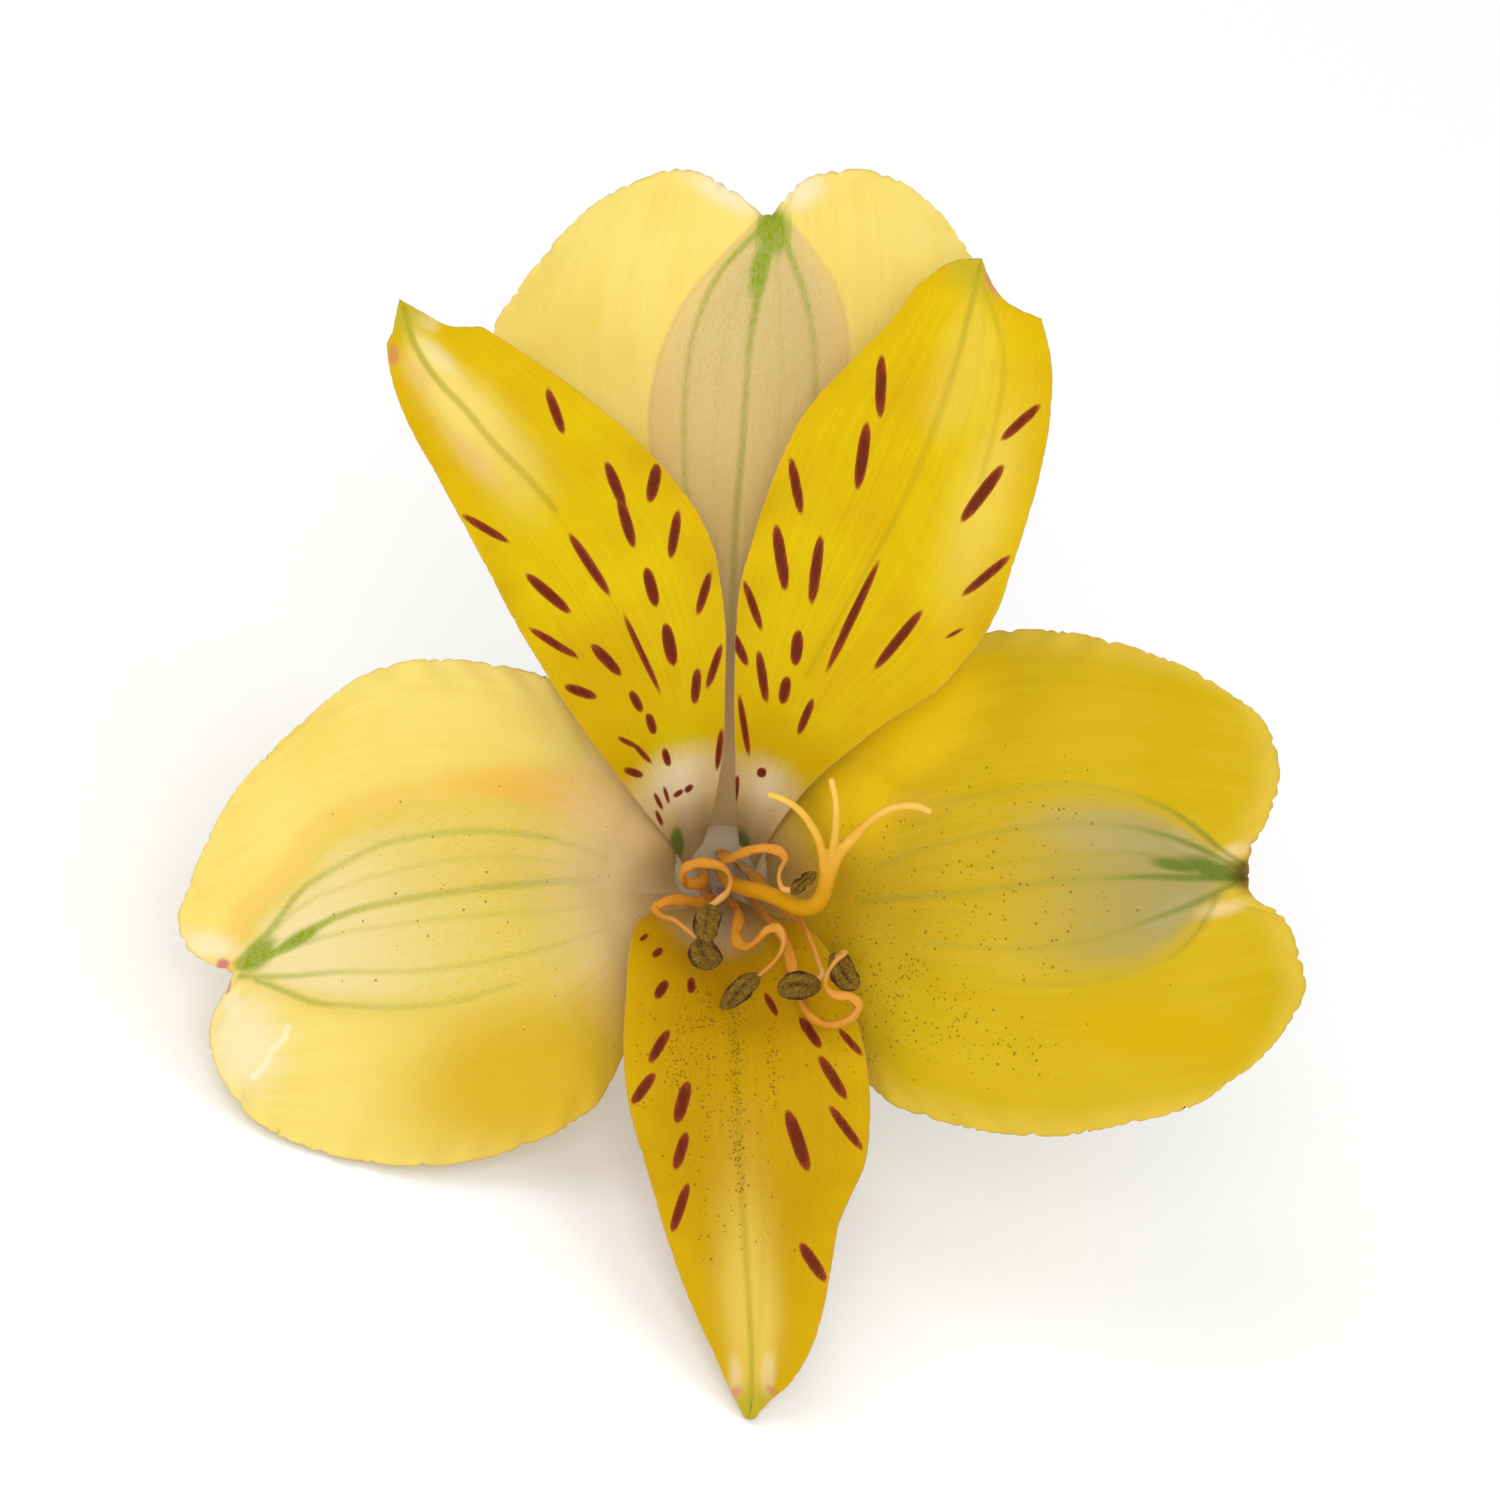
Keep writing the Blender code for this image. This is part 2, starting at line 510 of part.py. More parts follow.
# Stamens: the angle of the filament's root, its route from there, and its anther's
# middle, long direction, furrowed side and size.
STAMENS = (
    {"root": 90.0, "points": 22,
     "path": ((0.1, 1.2, 8.0), (0.3, 0.95, 13.0), (0.6, 0.9, 16.0), (1.3, 1.25, 17.6),
              (2.2, 1.55, 18.6), (3.1, 1.6, 19.3), (3.8, 1.4, 19.8), (4.1, 0.9, 20.3),
              (3.8, 0.3, 20.7), (3.7, -0.3, 21.1), (4.0, -0.8, 21.5)),
     "anther": (5.2, -0.5, 22.0), "along": (0.75, 0.65, 0.1), "front": (0.3, -0.3, 1.0),
     "size": (1.9, 0.8, 0.8)},
    {"root": 150.0, "points": 24,
     "path": ((-1.2, -0.1, 8.0), (-1.0, -0.6, 12.0), (-1.6, -0.7, 14.3), (-2.35, -0.4, 16.0),
              (-2.3, 0.25, 17.0), (-1.5, 0.65, 18.0), (-0.5, 0.65, 19.0), (0.35, 0.3, 19.8),
              (0.65, -0.4, 20.5), (0.45, -1.1, 21.0), (-0.15, -1.6, 21.6)),
     "anther": (-0.85, -3.05, 22.3), "along": (0.1, -1.0, 0.2), "front": (0.1, 0.2, 1.0),
     "size": (2.4, 1.8, 1.3)},
    {"root": 210.0, "points": 22,
     "path": ((-0.9, -1.4, 7.0), (-0.7, -2.0, 11.0), (-1.3, -1.9, 13.5), (-2.4, -1.7, 16.0),
              (-3.5, -1.8, 17.8), (-4.1, -2.2, 18.6), (-3.75, -2.65, 19.2),
              (-2.9, -2.9, 19.6), (-2.1, -3.5, 19.9)),
     "anther": (-0.9, -5.0, 20.6), "along": (0.4, -1.0, 0.1), "front": (0.0, 0.2, 1.0),
     "size": (2.2, 2.0, 1.3)},
    {"root": 270.0, "points": 26,
     "path": ((0.5, -1.8, 7.0), (0.9, -2.2, 10.5), (1.2, -2.7, 13.5), (1.1, -3.4, 15.8),
              (1.0, -4.0, 17.3), (1.3, -4.55, 18.3), (1.8, -4.6, 18.9), (2.4, -4.1, 19.5),
              (3.0, -3.5, 20.0), (3.6, -3.4, 20.5), (4.0, -4.1, 21.0), (3.75, -5.0, 21.4),
              (3.2, -5.7, 21.6), (2.75, -6.1, 21.6)),
     "anther": (1.25, -7.35, 21.6), "along": (0.76, 0.64, 0.0), "front": (0.0, 0.0, 1.0),
     "size": (3.2, 1.4, 1.3)},
    {"root": 30.0, "points": 20,
     "path": ((1.7, 0.1, 7.0), (2.6, -0.8, 11.0), (3.4, -1.6, 14.0), (4.3, -2.4, 16.8),
              (5.0, -2.9, 18.5), (5.5, -3.8, 19.8), (5.9, -4.7, 20.8), (6.2, -5.6, 21.6),
              (6.45, -6.25, 22.1)),
     "anther": (4.95, -7.0, 22.5), "along": (1.0, 0.15, 0.0), "front": (0.0, 0.0, 1.0),
     "size": (2.9, 1.7, 1.3)},
    {"root": 330.0, "points": 32,
     "path": ((1.5, -1.2, 7.0), (2.1, -1.9, 10.5), (2.9, -2.8, 14.0), (3.7, -3.6, 17.0),
              (4.3, -4.9, 19.0), (4.7, -6.5, 20.2), (5.1, -7.9, 21.0), (5.9, -9.1, 22.0),
              (7.25, -9.4, 23.0), (8.4, -8.8, 23.7), (8.7, -8.1, 24.2), (8.1, -7.6, 24.6),
              (7.2, -7.5, 24.9), (6.65, -7.0, 25.3), (6.7, -6.2, 25.7), (7.2, -5.4, 25.9),
              (7.7, -5.0, 25.7)),
     "anther": (7.75, -6.1, 23.9), "along": (0.6, -0.75, 0.2), "front": (0.2, 0.2, 1.0),
     "size": (2.7, 1.8, 1.2)},
)

# The style runs on into its right stigma branch. The other two branches start inside it.
STYLE_PATH = ((0.0, 0.0, SEAT_GAP), (0.1, -0.1, 7.0), (0.4, -0.4, 11.0), (0.9, -0.75, 14.0),
              (1.6, -0.95, 16.0), (2.6, -1.15, 18.0), (4.1, -1.7, 20.0), (5.2, -2.1, 21.4),
              (6.0, -1.9, 22.6), (6.5, -1.1, 23.6), (6.75, -0.1, 24.5), (7.15, 0.9, 25.1),
              (7.8, 1.8, 25.6), (8.6, 2.65, 25.9), (9.5, 3.5, 26.1), (10.8, 4.2, 26.2),
              (12.2, 4.3, 26.1), (13.3, 3.9, 25.9))
STIGMA_PATHS = (
    ((6.55, -0.7, 24.0), (6.5, 0.7, 24.9), (6.25, 2.0, 25.6), (5.7, 3.1, 26.1),
     (4.9, 4.1, 26.5), (4.0, 4.7, 26.8), (2.9, 5.1, 26.9)),
    ((6.7, -0.5, 24.2), (6.95, 0.9, 25.2), (7.15, 2.2, 26.0), (7.25, 3.4, 26.5),
     (7.2, 4.8, 27.0), (6.9, 6.1, 27.2)),
)


def lying_frame():
    """The empty that turns the flower's frame as the flower lies."""
    frame = bpy.data.objects.new("flower_frame", None)
    bpy.context.scene.collection.objects.link(frame)
    turn = Matrix.Rotation(math.pi / 2 - LIE_RISE, 4, "X") @ Matrix.Rotation(LIE_ROLL, 4, "Z")
    frame.matrix_world = Matrix.Translation(Vector(LIE_PLACE) * MM) @ turn
    return frame


def main():
    clear_scene()
    frame = lying_frame()
    outer_look = material("outer_tepal_yellow", YELLOW, 0.5)
    inner_look = material("inner_tepal_gold", GOLD, 0.45)
    for tepal in TEPALS:
        look = outer_look if tepal["name"].startswith("outer") else inner_look
        add_node(tepal["name"], blade_mesh(tepal), look, frame)
    filament_look = material("filament_salmon", SALMON, 0.5)
    anther_look = material("anther_olive", OLIVE, 0.85)
    for index, stamen in enumerate(STAMENS, start=1):
        add_filament(index, stamen, filament_look, frame)
        add_anther(index, stamen, anther_look, frame)
    add_style(material("style_amber", AMBER, 0.4), frame)
    add_ovary(material("ovary_green", GREEN, 0.5), frame)
    add_pedicel(material("pedicel_green", PALE_GREEN, 0.5), frame)


main()
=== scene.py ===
"""An alstroemeria bloom lying on a pale floor, dressed for a render.

The blades, stamens, style, ovary and pedicel are modelled finely in the places of the
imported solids. Lengths are in millimetres in the flower's own frame: x to the right and y
up as the open bloom is seen from the front, z towards the viewer, with the top of the
ovary at the origin. The lying frame turns that frame as the bloom lies.
"""

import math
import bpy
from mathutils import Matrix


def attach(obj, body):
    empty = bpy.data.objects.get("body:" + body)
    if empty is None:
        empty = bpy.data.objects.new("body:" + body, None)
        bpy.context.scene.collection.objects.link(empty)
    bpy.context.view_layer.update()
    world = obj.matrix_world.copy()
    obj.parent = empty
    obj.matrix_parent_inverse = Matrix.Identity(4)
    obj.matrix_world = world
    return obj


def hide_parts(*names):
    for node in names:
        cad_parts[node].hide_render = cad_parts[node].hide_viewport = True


bl_info = {
    "name": "Alstroemeria bloom",
    "version": (1, 0, 0),
    "blender": (4, 5, 0),
    "location": "3D View > Sidebar > Bloom",
    "description": "Builds an alstroemeria bloom around its packed solids",
    "category": "Add Mesh",
}

import bmesh
import bpy
import numpy as np
from bpy.props import FloatProperty, FloatVectorProperty, IntProperty, PointerProperty
from bpy.types import Operator, Panel, PropertyGroup
from mathutils import Matrix, Vector

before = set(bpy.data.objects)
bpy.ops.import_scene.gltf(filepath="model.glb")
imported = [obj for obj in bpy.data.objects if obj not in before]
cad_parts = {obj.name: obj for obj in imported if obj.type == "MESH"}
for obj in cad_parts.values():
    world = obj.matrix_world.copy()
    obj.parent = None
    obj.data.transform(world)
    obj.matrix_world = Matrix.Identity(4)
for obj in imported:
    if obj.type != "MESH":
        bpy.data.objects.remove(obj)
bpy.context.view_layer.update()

MM = 0.001
BODY = "root"

# The surface's slope against the flower's axis, its roll, and the ovary's top.
LIE_RISE = math.radians(33.04)
LIE_ROLL = math.radians(27.5)
LIE_PLACE = (-0.94, -0.39, 9.57)

# How late along a blade the bulge of its top margin sets in, as a power of its share.
TOP_SHARE = 2.4
MIDRIB_SAMPLES = 400
# The tepals' claws stand in two rings on the ovary. Each has a radius and half a breadth.
SEAT_GAP = 0.3
INNER_RING = 2.0
OUTER_RING = 2.95
INNER_CLAW = 1.0
OUTER_CLAW = 1.45

# The height of a midrib at distances from the axis.
OUTER_RISE = ((2.95, 0.5), (4.3, 6.0), (5.9, 11.0), (8.3, 15.0), (12.6, 19.3),
              (20.0, 23.4), (28.0, 25.9), (34.0, 26.9), (42.0, 26.2))
INNER_RISE = ((2.0, 0.5), (3.2, 6.0), (4.5, 11.0), (6.5, 15.2), (10.0, 19.8),
              (16.0, 24.4), (24.0, 28.6), (32.0, 31.4), (41.5, 33.2))
LOWER_RISE = ((2.0, 0.5), (3.2, 6.0), (4.5, 11.0), (6.5, 15.2), (10.0, 19.4),
              (16.0, 23.4), (24.0, 26.9), (30.0, 28.2), (34.0, 28.0))
# How a blade is cupped across at distances from the axis, as one over the curve's radius.
OUTER_CUP = ((2.95, 0.26), (4.3, 0.08), (5.9, 0.02), (9.0, 0.0), (14.0, -0.004),
             (22.0, -0.014), (34.0, -0.022), (42.0, -0.024))
INNER_CUP = ((2.0, 0.38), (4.5, 0.20), (8.0, 0.10), (14.0, 0.05), (22.0, 0.035),
             (32.0, 0.01), (41.5, -0.04))
LOWER_CUP = ((2.0, 0.38), (4.5, 0.16), (8.0, 0.04), (14.0, -0.01), (22.0, -0.02),
             (34.0, -0.03))

# The long waves of a margin: their length and depth, where across the blade they begin,
# as a share, from what distance from the axis, and how much further out they are full.
WAVE_LENGTH = 9.0
WAVE_DEPTH = 0.45
WAVE_REACH = 0.5
WAVE_START = 14.0
WAVE_STRETCH = 8.0

# The fine forms of a margin lie on the open part of a blade, where they set in between
# two shares of its length, and they fade over these distances from the margin.
OPEN_PART = (0.25, 0.5)
SCALLOP_REACH = 1.1
RUFFLE_REACH = 1.7
THIN_MARGIN = (0.0, 3.0)
# How near a corner the way out of a blade turns from sideways to tipwards.
CORNER = 0.8
# How far the two halves of a blade are out of step, so that they don't mirror each other.
HALF_SHIFT = 3.0
# Sums of waves, each with its depth, its turn per millimetre and its share of the phase.
TOOTH_DRIFT = ((0.4, 0.9, 1),)
TOOTH_MEAN = 0.55
TOOTH_UNEVEN = ((0.45, 1.9, 2),)
MARGIN_WANDER = ((0.22, 0.52, 1), (0.1, 1.31, 3))
RUFFLES = ((1.0, 2 * math.pi / 2.7, 1), (0.6, 2 * math.pi / 4.3, 0))
SHRINKING = ((1.0, 1.7, 9), (0.6, 4.3, 0))
INNER_SCALLOP = 0.25
OUTER_RUFFLE = 0.11
INNER_RUFFLE = 0.07

# Marks of a face. Widths are those of soft lines. Pairs are the two distances between
# which a mark sets in: from the axis, from the tip, or from a band's or blade's outline.
VEIN_WIDTH = 0.26
VEIN_REACH = (4.0, 10.0)
VEIN_FADE = (0.0, 1.2)
LIFT_EDGE = (-1.8, 1.4)
LIFT_REACH = (3.0, 12.0)
# The fold mark is painted shade on the lobe beside the band, about this wide.
FOLD_WIDTH = 1.5
MIST_EDGE = (-0.8, 2.2)
MIST_START = 19.0
MIST_FULL = 4.0
BRIM_WIDTH = 0.22
BRIM_REACH = (8.0, 20.0)
SAP_REACH = (13.0, 3.0)
# The glint is a painted highlight along a crease.
GLINT_WIDTH = 0.22
NO_LINE = ((0.0, -60.0), (1.0, -60.0))
# A power above two makes a fleck's ends blunter than an ellipse's.
FLECK_END = 2.6
BAND_LIMIT = 3.0
GAP_LIMIT = 4.0
TIP_LIMIT = 30.0
PATCHES = ("white", "green", "red", "deep", "golden", "lilac", "spot")

# The camera's place in the flower's frame, where the photograph was taken from, and the
# width of the picture at the depth of the open face.
VIEW_PLACE = (1.875, 7.81, 725.0)
VIEW_WIDTH = 93.75
FACE_DEPTH = 25.0
SENSOR = 36.0
NEAREST_SEEN = 0.01
# The lamps, with their places in the flower's frame, their breadth in metres and their
# power in watts, the place that they shine at, and half the floor's side in metres.
LAMPS = (
    ("key", (-150.0, 400.0, 560.0), 0.45, 0.9),
    ("front", (30.0, 40.0, 690.0), 0.3, 1.45),
    ("fill", (420.0, 160.0, 480.0), 0.5, 0.4),
)
LIT_PLACE = (0.0, 4.0, 20.0)
FLOOR_HALF = 3.0

# Inputs of a node that mixes two colours, and its mixed colour.
SHARE, FIRST, SECOND, MIXED = 0, 6, 7, 2


def hex_colour(text):
    """An sRGB hex colour as linear red, green, blue and alpha."""
    values = [int(text[at:at + 2], 16) / 255 for at in (1, 3, 5)]
    linear = [v / 12.92 if v <= 0.04045 else ((v + 0.055) / 1.055) ** 2.4 for v in values]
    return (*linear, 1.0)


def colour_property(name, text, description):
    return FloatVectorProperty(
        name=name, subtype="COLOR", size=4, min=0.0, max=1.0, default=hex_colour(text),
        description=description,
    )


def length_property(name, millimetres, description):
    return FloatProperty(
        name=name, unit="LENGTH", min=0.0, default=millimetres * MM, precision=5,
        description=description,
    )


class BloomSizes(PropertyGroup):
    """Sizes of the bloom's fine forms."""

    blade: length_property("Blade", 0.42, "Thickness of a tepal along its midrib")
    margin: length_property("Margin", 0.16, "Thickness of a tepal at its margin")
    scallop: length_property("Scallop", 0.95, "Length of one scallop of an outer margin")
    scallop_depth: length_property("Scallop depth", 0.26, "How far a scallop is cut in")
    vein_depth: length_property("Vein depth", 0.09, "How far a main vein is sunk in")
    ribbon: length_property("Filament", 0.4, "Half the breadth of a filament")
    style: length_property("Style", 0.56, "Radius of the style where it forks")
    rows: IntProperty(name="Rows", default=190, min=20, max=400,
                      description="Rows of faces from a tepal's claw to its tip")
    columns: IntProperty(name="Columns", default=84, min=6, max=120,
                         description="Columns of faces across half a tepal")


class BloomColours(PropertyGroup):
    """Colours of the bloom, as they look in soft daylight."""

    lobe: colour_property("Lobe", "#DCC25A", "Open lobes of the outer tepals")
    lobe_pale: colour_property("Pale lobe", "#E1CB6E", "Paler streaks of the outer lobes")
    # Painted shade: the next two colours are the lobe colours darkened, for the right outer
    # tepal's lobes.
    lobe_in_shade: colour_property("Sunny", "#BB9B06", "Deeper yellow of the right outer tepal")
    lobe_in_shade_pale: colour_property("Pale sunny", "#C3A31C", "Its paler streaks")
    # Painted light: bright is laid in the spot patches of the right outer tepal's upper lobe.
    bright: colour_property("Bright", "#E6C010", "Its brightest yellow, near the claw")
    gold: colour_property("Gold", "#CFB402", "Face of the upper inner tepals")
    # Deep gold also paints the shade in the deep patches of the side outer tepals.
    gold_deep: colour_property("Deep gold", "#C49D00", "Their deeper streaks and margins")
    ochre: colour_property("Ochre", "#B99102", "Face of the lower inner tepal")
    ochre_deep: colour_property("Deep ochre", "#B18700", "Its deeper streaks")
    # Painted shade: amber laid above the side outer tepals' band, where the lobe turns away.
    amber_fold_shade: colour_property("Amber", "#DCAA45", "Fold above the side tepals' band")
    blush: colour_property("Blush", "#D0B26F", "Beige band of the top tepal")
    sage: colour_property("Sage", "#CFB644", "Band of the left tepal")
    mist: colour_property("Mist", "#8F875C", "Greyish band of the right tepal")
    lilac: colour_property("Lilac", "#A59A6E", "Lilac sheen near a tip")
    shell: colour_property("Shell", "#E3C796", "Pinkish claws of the outer tepals")
    milk: colour_property("Milk", "#F6EBD0", "Whitish throat of the inner tepals")
    cream: colour_property("Cream", "#E2D6B4", "Pale throat, notches and nets of cells")
    vein: colour_property("Vein", "#8F902A", "Green veins")
    seam: colour_property("Seam", "#9C8608", "Creases and veins of the inner tepals")
    lime: colour_property("Lime", "#A59F2A", "Yellowish veins of the left tepal")
    leaf: colour_property("Tip", "#7B8E00", "Green tips")
    moss: colour_property("Moss", "#52681A", "Dark green of the right tip")
    fleck: colour_property("Fleck", "#59130A", "Dark flecks of the inner tepals")
    brick: colour_property("Brick", "#7F2619", "Redder parts of the flecks")
    spot: colour_property("Spot", "#5F8C14", "Green spots in the throat")
    rosy: colour_property("Rose", "#BD5166", "Rosy edges of the tips")
    # Edge paints a thin darker line of edge shade along each tepal margin, and the line round
    # the top tepal's band.
    edge: colour_property("Edge", "#C19466", "Thin browned margins")
    salmon: colour_property("Salmon", "#D08F2C", "Filaments")
    peach: colour_property("Peach", "#D6A86A", "Dried ends of the filaments")
    speck: colour_property("Speck", "#664711", "Shed pollen on the tepals")
    russet: colour_property("Russet", "#AD531B", "Reddish edges of the filaments")
    pollen: colour_property("Pollen", "#604509", "Pollen grains")
    straw: colour_property("Straw", "#836412", "Palest pollen grains")
    rim: colour_property("Rim", "#3F1E0E", "Dark rims of an anther")
    glow: colour_property("Glow", "#EDD45C", "Tint of the light off petal skin")
    honey: colour_property("Honey", "#CB9208", "Style")
    honey_pale: colour_property("Pale honey", "#DFB64C", "Tips of the stigma")
    ovary: colour_property("Ovary", "#5B7A34", "Ovary")
    stem: colour_property("Stem", "#7A9449", "Pedicel")
    haze: colour_property("Haze", "#BBA88C", "Top of the ovary, deep in the throat")


class StageSettings(PropertyGroup):
    """The floor, the light and the camera."""

    floor: colour_property("Floor", "#FFFFFF", "The plain floor")
    floor_shade: colour_property("Floor shade", "#FBFBFB", "Its slightly darker clouds")
    lamps: FloatProperty(
        name="Lamps", default=1.0, min=0.0,
        description="Strength of the three soft lamps, against their usual one",
    )
    sky: FloatProperty(
        name="Surrounding light", default=0.76, min=0.0,
        description="Strength of the even light from all around",
    )


def smooth(keys, values, at):
    """Values on a smooth curve through the given ones, each at its key."""
    keys = np.asarray(keys, float)
    values = np.asarray(values, float)
    at = np.asarray(at, float)
    slopes = np.gradient(values, keys, axis=0)
    left = np.clip(np.searchsorted(keys, at, side="right") - 1, 0, len(keys) - 2)
    step = keys[left + 1] - keys[left]
    k = np.clip((at - keys[left]) / step, 0.0, 1.0)
    if values.ndim > 1:
        k = k[:, None]
        step = step[:, None]
    near = values[left] * (1 + 2 * k) + slopes[left] * step * k
    far = values[left + 1] * (3 - 2 * k) - slopes[left + 1] * step * (1 - k)
    return near * (1 - k) ** 2 + far * k ** 2


def along(points, share):
    """Points on a smooth line through the given ones, by share of its length."""
    points = np.asarray(points, float)
    steps = np.linalg.norm(np.diff(points, axis=0), axis=1)
    keys = np.concatenate([[0.0], np.cumsum(steps)]) / steps.sum()
    return smooth(keys, points, share)


def line_length(points):
    return np.linalg.norm(np.diff(np.asarray(points, float), axis=0), axis=1).sum()


def profile(pairs, at):
    pairs = np.asarray(pairs, float)
    return smooth(pairs[:, 0], pairs[:, 1], np.clip(at, pairs[0, 0], pairs[-1, 0]))


def ramp(low, high, at):
    """A soft step from 0 at low to 1 at high, which may be the smaller."""
    k = np.clip((np.asarray(at, float) - low) / (high - low), 0.0, 1.0)
    return k * k * (3 - 2 * k)


def soft(distance, width):
    """One at no distance, which falls softly to nothing over some two widths."""
    return np.exp(-(distance / width) ** 2)


def waves(at, phase, terms):
    """A sum of waves, each with its depth, its turn per millimetre and its phase share."""
    return sum(depth * np.sin(turn * at + part * phase) for depth, turn, part in terms)


def ring_point(radius, degrees):
    angle = math.radians(degrees)
    return np.array([radius * math.cos(angle), radius * math.sin(angle)])


def claw_line(radius, half_width, degrees):
    """The left, middle and right of a claw's root as its tepal is seen tip upwards."""
    middle = ring_point(radius, degrees)
    outwards = middle / radius
    right = np.array([outwards[1], -outwards[0]])
    return middle - half_width * right, middle, middle + half_width * right


def half_face(share, across, midrib, side, top):
    """Face points of one half of a blade, between its midrib, side and top margins."""
    middle = along(midrib, share)
    margin = along(side, share)
    tip = np.asarray(midrib[-1], float)
    shoulder = np.asarray(side[-1], float)
    straight = tip + across[:, None] * (shoulder - tip)
    bulge = along(top, across) - straight
    face = middle + across[:, None] * (margin - middle)
    return face + (share ** TOP_SHARE)[:, None] * bulge, middle


def even_shares(midrib, rise, rows):
    """Shares of the midrib that are evenly spaced along its length in space."""
    fine = np.linspace(0.0, 1.0, MIDRIB_SAMPLES)
    face = along(midrib, fine)
    height = profile(rise, np.linalg.norm(face, axis=1))
    line = np.column_stack([face, height])
    lengths = np.linalg.norm(np.diff(line, axis=0), axis=1)
    covered = np.concatenate([[0.0], np.cumsum(lengths)]) / lengths.sum()
    return np.interp(rows, covered, fine)


def outline_distance(points, line):
    """Distance from each point to the nearest place on a line of straight pieces."""
    best = np.full(len(points), np.inf)
    line = np.asarray(line, float)
    for start, end in zip(line, line[1:]):
        run = end - start
        k = np.clip((points - start) @ run / (run @ run), 0.0, 1.0)
        best = np.minimum(best, np.linalg.norm(points - start - k[:, None] * run, axis=1))
    return best


def area_depth(points, outline):
    """Distance from the outline of an area, above zero inside it."""
    ring = np.asarray([*outline, outline[0]], float)
    inside = np.zeros(len(points), bool)
    for (x0, y0), (x1, y1) in zip(ring, ring[1:]):
        if y0 == y1:
            continue
        crosses = (points[:, 1] > min(y0, y1)) & (points[:, 1] <= max(y0, y1))
        at = x0 + (points[:, 1] - y0) * (x1 - x0) / (y1 - y0)
        inside ^= crosses & (points[:, 0] < at)
    return np.where(inside, 1.0, -1.0) * outline_distance(points, ring)


def fleck_depth(points, flecks):
    """How deep each point is inside the nearest spindle-shaped fleck, in millimetres."""
    best = np.full(len(points), -BAND_LIMIT)
    for x0, y0, x1, y1, width in flecks:
        middle = np.array([(x0 + x1) / 2, (y0 + y1) / 2])
        run = np.array([x1 - x0, y1 - y0])
        half = np.linalg.norm(run) / 2
        run = run / (2 * half)
        offset = points - middle
        u = (offset @ run) / half
        v = (offset @ np.array([-run[1], run[0]])) / (width / 2)
        from_middle = np.sqrt(np.abs(u) ** FLECK_END + v ** 2)
        best = np.maximum(best, (1 - from_middle) * width / 2)
    return best


def patches(points, ellipses):
    """One in the middle of the nearest of some soft ellipses, and zero far from them.
    Each has a middle, two radii and the angle of the first one."""
    best = np.zeros(len(points))
    for x, y, long_radius, short_radius, degrees in ellipses:
        turn = math.radians(degrees)
        offset = points - np.array([x, y])
        u = offset @ np.array([math.cos(turn), math.sin(turn)]) / long_radius
        v = offset @ np.array([-math.sin(turn), math.cos(turn)]) / short_radius
        best = np.maximum(best, np.exp(-u ** 2 - v ** 2))
    return best


def seen(points):
    """Where points appear in the plane of the open face, from the camera's place."""
    scale = (VIEW_PLACE[2] - FACE_DEPTH) / (VIEW_PLACE[2] - points[:, 2])
    middle = np.array(VIEW_PLACE[:2])
    return middle + (points[:, :2] - middle) * scale[:, None]
